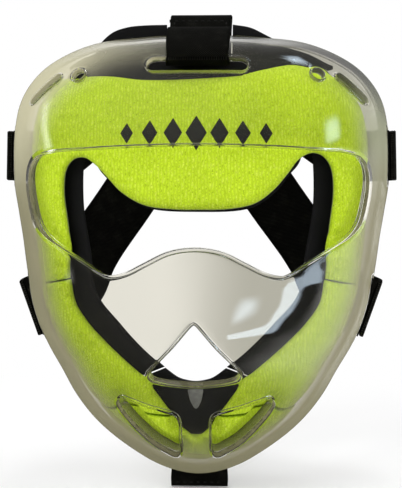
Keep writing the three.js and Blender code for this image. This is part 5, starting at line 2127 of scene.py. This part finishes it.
@dataclass
class RearPanel:
    """The panel at the back of the head with its binding, pad and sewn strap ends."""

    finishes: Finishes
    width: float = 100.0
    height: float = 54.014
    bottom: float = 54.014
    depth: float = 152.0
    thickness: float = 3.0
    corner: float = 9.0
    lean: float = 3.6
    binding: float = 7.0
    pad_margin: float = 6.0
    pad_bottom: float = 14.0
    pad_top: float = 9.0
    pad_thickness: float = 9.0
    pad_back: float = 149.0
    plate_profile: tuple[Share, ...] = (
        (0.5, -0.26), (0.92, -0.26), (0.985, -0.3), (1, -0.2), (1, 0.2), (0.985, 0.3), (0.92, 0.26),
        (0.5, 0.26),
    )
    pad_profile: tuple[Share, ...] = (
        (0.5, -0.02), (0.9, 0), (0.96, 0.03), (0.995, 0.1), (1, 0.17), (0.995, 0.25), (0.975, 0.4),
        (0.945, 0.56), (0.905, 0.7), (0.85, 0.82), (0.78, 0.9), (0.7, 0.95), (0.6, 0.975), (0.5, 0.985),
        (0.3, 1),
    )
    boxes: tuple[tuple[float, float, float, float], ...] = (
        (0, 15, 26, 12), (-30, 10, 20, 14), (30, 10, 20, 14), (-27, -13, 22, 13), (27, -13, 22, 13),
    )

    @property
    def middle(self) -> Points:
        """Centre of the panel."""
        return np.array([-self.lean, self.depth + self.thickness / 2, self.bottom + self.height / 2])

    def _level(self, outline: Points, depth: float, centre: Points) -> Points:
        """An upright outline at a depth."""
        x, z = outline[:, 0] + centre[0], outline[:, 1] + centre[2]
        return np.column_stack([x, np.full(len(outline), depth), z])

    def build(self) -> None:
        """Makes the panel, its binding, its stitches and its pad."""
        self._plate()
        self._binding()
        self._stitches()
        self._pad()

    def _plate(self) -> None:
        """The woven plate between the bindings."""
        bm = bmesh.new()
        outline = rounded_outline(self.width - 2, self.height - 2, self.corner - 1, 9)
        rings, uvs = [], []
        for scale, share in self.plate_profile:
            flat = outline * scale
            rings.append(self._level(flat, self.middle[1] + share * self.thickness, self.middle))
            uvs.append(np.concatenate([flat, flat[:1]]) * 0.3 + (0, share))
        sweep(bm, rings, uvs)
        settle(bm, "rear_panel_plate", self.finishes.webbing, Body.HARNESS, Slot.WEBBING, "rear_panel")

    def _binding(self) -> None:
        """The folded tape round the plate's edge."""
        width, height = self.width - self.thickness, self.height - self.thickness
        outer = rounded_outline(width, height, self.corner - self.thickness / 2, 10)
        turns = np.linspace(-math.pi / 2, math.pi / 2, 9)
        section = [(self.thickness * 0.5 * (1 - math.cos(t)), 0.5 * math.sin(t)) for t in turns]
        section = [(self.binding, -0.46), *section, (self.binding, 0.46)]
        section += [(self.binding + 0.4, 0.38), (self.binding + 0.4, -0.38)]
        rings, uvs = [], []
        grown = offset_outline(outer, self.thickness / 2)
        run = lengths_along(np.concatenate([outer, outer[:1]]))
        for i in range(len(outer) + 1):
            at = i % len(outer)
            inward = unit((outer[at] - grown[at])[None])[0]
            spots = np.array([grown[at] + inward * inset for inset, _ in section])
            ring = self._level(spots, self.middle[1], self.middle)
            ring[:, 1] += [share * self.thickness for _, share in section]
            rings.append(ring)
            reach = [inset * (1 if share > 0 else -1) for inset, share in section]
            uvs.append(np.stack([np.array([*reach, reach[0]]), np.full(len(reach) + 1, run[i])], -1))
        bm = bmesh.new()
        sweep(bm, rings, uvs, joined=True)
        settle(bm, "rear_panel_binding", self.finishes.webbing, Body.HARNESS, Slot.WEBBING)

    def _stitches(self) -> None:
        """Stitches round the binding and crossed boxes over the strap ends."""
        bm = bmesh.new()
        back = self.depth + self.thickness + 0.05
        row = rounded_outline(self.width - 11, self.height - 11, self.corner - 4, 6)
        Seam().sew(bm, self._level(np.concatenate([row, row[:1]]), back, self.middle))
        for x, z, wide, tall in self.boxes:
            corners = np.array([(-1, -1), (1, -1), (1, 1), (-1, 1), (-1, -1), (1, 1)]) * (wide / 2, tall / 2)
            rows = [*zip(corners[:-1], corners[1:]), (corners[1], corners[3])]
            for row in rows:
                Seam().sew(bm, self._level(np.array(row) + (x, z), back, self.middle))
        settle(bm, "rear_panel_stitches", self.finishes.black_thread, Body.HARNESS, Slot.WEBBING)

    def _pad(self) -> None:
        """The soft pad in front of the strap ends."""
        width = self.width - 2 * self.pad_margin
        height = self.height - self.pad_bottom - self.pad_top
        centre = np.array([-self.lean, 0, self.bottom + self.pad_bottom + height / 2])
        outline = spaced(rounded_outline(width, height, self.corner, 10), 120, closed=True)
        rings = []
        for scale, depth in self.pad_profile:
            flat = outline * scale
            points = self._level(flat, self.pad_back - max(depth, 0) * self.pad_thickness, centre)
            if depth > 0.3:
                points[:, 1] += [0.7 * (0.5 + noise.noise(Vector(p) * 0.09)) for p in points]
            rings.append(points)
        bm = bmesh.new()
        sweep(bm, rings)
        lining = self.finishes.lining
        piece = settle(bm, "rear_pad_cover", lining, Body.HARNESS, Slot.LINING, "rear_panel_pad")


@dataclass
class ChinPull:
    """The short webbing tab under the chin."""

    form: ShellForm
    finishes: Finishes
    width: float = 31.0
    length: float = 10.0
    thickness: float = 2.4
    touch: float = 0.4

    def build(self) -> None:
        """Makes the tab and its stitches."""
        depth = self.form.rim_point(-math.pi / 2)[1] + self.touch + self.thickness / 2
        top = -self.form.chin_drop + self.form.wall / 2
        heights = top - np.linspace(-0.6, self.length, 15)
        line = np.column_stack([np.zeros(15), np.full(15, depth), heights])
        across = np.tile([1.0, 0.0, 0.0], (15, 1))
        narrow = 1 - 0.012 * np.cos(np.linspace(0, 5, 15))
        bm = bmesh.new()
        for sign in (-1, 1):
            layer = Webbing(self.width, self.thickness * 0.48, edge=0.5)
            shifted = line + (0, 0.25 * self.thickness * sign, 0)
            sweep(bm, *layer.rings(shifted, across, narrow, start=5.0 * sign))
        turns = np.linspace(0, TURN, 10, endpoint=False)
        round_y, round_z = np.cos(turns) * self.thickness / 2, 0.6 + np.sin(turns) * 0.6
        ring = np.stack([np.zeros(10), depth + round_y, heights[-1] + round_z], -1)
        sweep(bm, [ring + (x, 0, 0) for x in np.linspace(-self.width / 2, self.width / 2, 9)])
        body, slot, finishes = Body.CHIN_PULL, Slot.WEBBING, self.finishes
        settle(bm, "chin_pull_webbing", finishes.webbing, body, slot, "chin_pull_tab")
        bm = bmesh.new()
        half = self.width / 2 - 2.5
        for height in (heights[3], heights[-1] + 2.2):
            Seam().sew(bm, np.array([(x, depth - self.thickness / 2 - 0.05, height) for x in (-half, half)]))
        settle(bm, "chin_pull_stitches", finishes.black_thread, body, slot)


@dataclass
class Harness:
    """Seats and paths of the five straps that meet on the rear panel."""

    form: ShellForm
    finishes: Finishes
    temple_height: float = 48.5
    cheek_height: float = -35.0
    crown_path: tuple[tuple[float, float, float], ...] = (
        (0, 0.72, 1.125), (0, 0.85, 1.1), (0, 0.94, 1.03), (0, 0.985, 0.955), (0, 1, 0.9), (0, 1, 0.84),
    )
    temple_path: tuple[tuple[float, float, float], ...] = (
        (0.6, 0.882, 0.566), (0.51, 0.96, 0.64), (0.445, 0.998, 0.69), (0.4, 1, 0.706),
    )
    cheek_path: tuple[tuple[float, float, float], ...] = (
        (0.632, 0.684, -0.081), (0.45, 0.803, 0.168), (0.268, 0.94, 0.42), (0.19, 0.998, 0.52),
        (0.144, 1, 0.593),
    )

    def _angle_at(self, height: float) -> float:
        """Angle at which the right side of the rim has a height."""
        return halved(-math.pi / 2, math.pi / 2, lambda turn: self.form.rim_front(turn)[1] > height)

    def straps(self) -> list[Strap]:
        """The five straps with their seats.

        Returns:
            The straps, the crown's first.
        """
        form = self.form
        crown = StrapSeat(form, math.pi / 2, 29, 53.6, 8.6, 4.3, 34.4, 2.8, 22, -38, 2.3, crown=True)
        made = [Strap(self.finishes, "crown", crown, self.crown_path, Side.RIGHT, Body.CROWN_END)]
        ends = {
            Side.LEFT: (Body.TEMPLE_END_LEFT, Body.CHEEK_END_LEFT),
            Side.RIGHT: (Body.TEMPLE_END_RIGHT, Body.CHEEK_END_RIGHT),
        }
        for side in Side:
            for name, height, width, inside, lay, turn, off, path, body in (
                ("temple", self.temple_height, 28.5, 2.8, 24, 30, 1.2, self.temple_path, ends[side][0]),
                ("cheek", self.cheek_height, 34.0, 5.2, 21, 26, 0.5, self.cheek_path, ends[side][1]),
            ):
                angle = self._angle_at(height)
                if side is Side.LEFT:
                    angle = math.pi - angle
                seat = StrapSeat(form, angle, 20, width + 2.6, 6.0, 1.3, width, inside, lay, turn, off)
                made.append(Strap(self.finishes, name, seat, path, side, body))
        return made


# The studio


@dataclass
class Studio:
    """Floor, light and camera."""

    azimuth: float = 2.4
    elevation: float = 3.0
    distance: float = 760.0
    target: tuple[float, float, float] = (0.0, 60.0, 0.0)
    lens: float = 101.5
    sensor: float = 36.0
    shift: tuple[float, float] = (0.33, -0.28)
    floor_drop: float = 133.2
    floor_size: float = 6.0
    sky: float = 0.64
    steep_dim: float = 0.75
    sky_through: float = 1.55
    room: Colour = (0.86, 0.845, 0.78)
    corner: Colour = (0.50, 0.49, 0.43)

    def build(self) -> None:
        """Sets up everything round the object."""
        self._camera()
        self._floor()
        self._world()
        self._lamps()
        bpy.context.scene.view_settings.view_transform = "Standard"

    def _camera(self) -> None:
        """The camera at the photograph's angle."""
        azimuth, elevation = math.radians(self.azimuth), math.radians(self.elevation)
        level = math.cos(elevation)
        back = Vector((math.sin(azimuth) * level, -math.cos(azimuth) * level, math.sin(elevation)))
        turn = (-back).to_track_quat("-Z", "Y")
        right, up = turn @ Vector((1, 0, 0)), turn @ Vector((0, 1, 0))
        aim = Vector(self.target) + right * self.shift[0] + up * self.shift[1]
        data = bpy.data.cameras.new("camera")
        data.sensor_fit = "AUTO"
        data.sensor_width = self.sensor
        data.lens = self.lens
        data.clip_start, data.clip_end = 0.01, 50
        camera = bpy.data.objects.new("camera", data)
        camera.rotation_mode = "QUATERNION"
        camera.rotation_quaternion = turn
        camera.location = (aim + back * self.distance) * MM
        bpy.context.scene.collection.objects.link(camera)
        bpy.context.scene.camera = camera

    def _floor(self) -> None:
        """A pale floor that runs out into the white background, and glows at its front right for glossy rays
        as a painted reflection.
        """
        bm = bmesh.new()
        bmesh.ops.create_grid(bm, x_segments=8, y_segments=8, size=self.floor_size / 2)
        mesh = bpy.data.meshes.new("floor")
        bm.to_mesh(mesh)
        bm.free()
        mesh.transform(Matrix.Translation((0, 0, -self.floor_drop * MM)))
        floor = bpy.data.objects.new("floor", mesh)
        bpy.context.scene.collection.objects.link(floor)
        shader = Shader.material("studio_floor")
        place = shader.space()
        matte = shader.node("ShaderNodeBsdfDiffuse", values={"Color": (0.96, 0.96, 0.96)})
        reach = shader.node("ShaderNodeVectorMath", {"operation": "LENGTH"}, {0: place}, "Value")
        path, through, glossy, _ = self._rays(shader)
        x, y, _ = shader.split(place)
        aside = (x - 0.03) / (y + 0.7).most(0.3)
        colour = self._backdrop(shader, aside, (1 - path) * through)
        # Painted reflection: for glossy rays the floor glows brightly at the front right and is dark
        # elsewhere.
        glow = x.rise(0.05, 0.26) * (y / reach.most(0.05)).rise(-0.5, -0.3)
        reflected_glow = shader.blend(glow, (0.1, 0.1, 0.095), (1.9, 1.9, 1.85))
        colour = shader.blend(glossy, colour, reflected_glow)
        white = shader.node("ShaderNodeEmission", values={"Color": colour, "Strength": 1.0})
        far = (reach.rise(0.13, 0.5) * through.most(path)).most(glossy)
        seen = shader.node("ShaderNodeMixShader", values={0: far, 1: matte, 2: white})
        floor.data.materials.append(shader.done(seen))

    def _rays(self, shader: Shader) -> tuple[Value, Value, Value, Value]:
        """Tells rays apart: from the camera, through plastic, off a gloss, or from cloth through plastic.

        Args:
            shader: The shader.

        Returns:
            1 or 0 for each of the four kinds.
        """
        path = shader.node("ShaderNodeLightPath", output="Is Camera Ray")
        outputs = path.socket.node.outputs
        matt = Value(shader, outputs["Diffuse Depth"]).least(1.0)
        gloss = Value(shader, outputs["Glossy Depth"]).least(1.0)
        through = Value(shader, outputs["Is Transmission Ray"]) * (1 - matt) * (1 - gloss)
        glossy = gloss * (1 - matt)
        return path, through, glossy, matt * Value(shader, outputs["Is Transmission Ray"])

    def _backdrop(self, shader: Shader, aside: Value, through: Value) -> Value:
        """White, or the room's own shade where it is seen through plastic: darker towards the right."""
        shade = aside.rise(-0.075, 0.0) * aside.rise(0.2, 0.1)
        return shader.blend(through, (1.0, 1.0, 1.0), shader.blend(shade, self.room, self.corner))

    def _world(self) -> None:
        """White for the camera and for what shows in the shell, plain soft light for the rest."""
        world = bpy.data.worlds.new("studio")
        bpy.context.scene.world = world
        shader = Shader(world)
        path, through, glossy, lit = self._rays(shader)
        x, y, z = shader.split(shader.node("ShaderNodeTexCoord", output="Generated"))
        strip = abs(y * 0.878 - x * 0.18 - z * 0.443 + 0.05).rise(0.12, 0.03) * x.rise(-0.45, -0.65)
        strip = strip * z.rise(-0.02, 0.12) * z.rise(0.66, 0.5)
        side = abs(x * 0.545 + y * 0.84)
        window = side.rise(0.17, 0.05) * abs(z - 0.42).rise(0.2, 0.07) * x.rise(0.6, 0.72)
        sill = side.rise(0.2, 0.15) * abs(z - 0.075).rise(0.055, 0.035) * x.rise(0.7, 0.74)
        skylight = (abs(x - 0.34) + abs(y - 0.12)).rise(0.13, 0.05) * z.rise(0.6, 0.75)
        right = x.rise(0.6, 0.85) * z.rise(0.12, 0.0) * y.rise(-0.48, -0.3)
        above = (z.rise(0.1, 0.8) * 0.28 + y.rise(-0.1, 0.5) * 0.5) * (1 - x.rise(-0.05, 0.25) * 0.8)
        shine = 0.08 + above * 0.8 + right * 1.7
        cool = window * 5.5 + sill * 6.0 + skylight * 7.0
        dim = 1 - y.rise(0.93, 0.5) * self.steep_dim
        matt_light = self.sky + lit * ((0.72 + z.rise(-0.25, 0.6) * 0.5) * self.sky_through - self.sky)
        other = through * dim + glossy * (shine + strip * 4.5 + cool)
        other = other + (1 - through) * (1 - glossy) * matt_light
        warm = self._backdrop(shader, x, (1 - path) * through * y.rise(0.0, 0.3))
        colour = shader.blend(glossy * cool.least(1.0), warm, (0.72, 0.86, 1.0))
        strength = path + (1 - path) * other
        shader.done(shader.node("ShaderNodeBackground", values={"Color": colour, "Strength": strength}))

    def _lamps(self) -> None:
        """Two large soft lamps in front and one above."""
        for name, place, size, power in (
            ("key_lamp", (-0.75, -1.15, 0.95), 0.9, 12.6),
            ("fill_lamp", (1.1, -0.9, 0.35), 0.8, 5.0),
            ("top_lamp", (0.1, 0.35, 1.4), 0.9, 6.6),
        ):
            data = bpy.data.lights.new(name, "AREA")
            data.shape = "RECTANGLE"
            data.size, data.size_y = size, size * 0.7
            data.energy = power
            lamp = bpy.data.objects.new(name, data)
            lamp.location = place
            lamp.rotation_mode = "QUATERNION"
            lamp.rotation_quaternion = (Vector((0, 0.05, 0)) - Vector(place)).to_track_quat("-Z", "Y")
            lamp.visible_glossy = lamp.visible_transmission = False
            bpy.context.scene.collection.objects.link(lamp)


def main() -> None:
    """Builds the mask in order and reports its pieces."""
    logging.basicConfig(level=logging.INFO, format="%(name)s: %(message)s")
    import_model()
    Studio().build()
    finishes = Finishes()
    form = ShellForm()
    straps = Harness(form, finishes).straps()
    shell = Shell(form)
    shell.build(finishes.clear, [strap.seat for strap in straps])
    for part in (Liner(form, finishes, shell.lips()), *straps, RearPanel(finishes), ChinPull(form, finishes)):
        part.build()


if __name__ == "__main__":
    main()
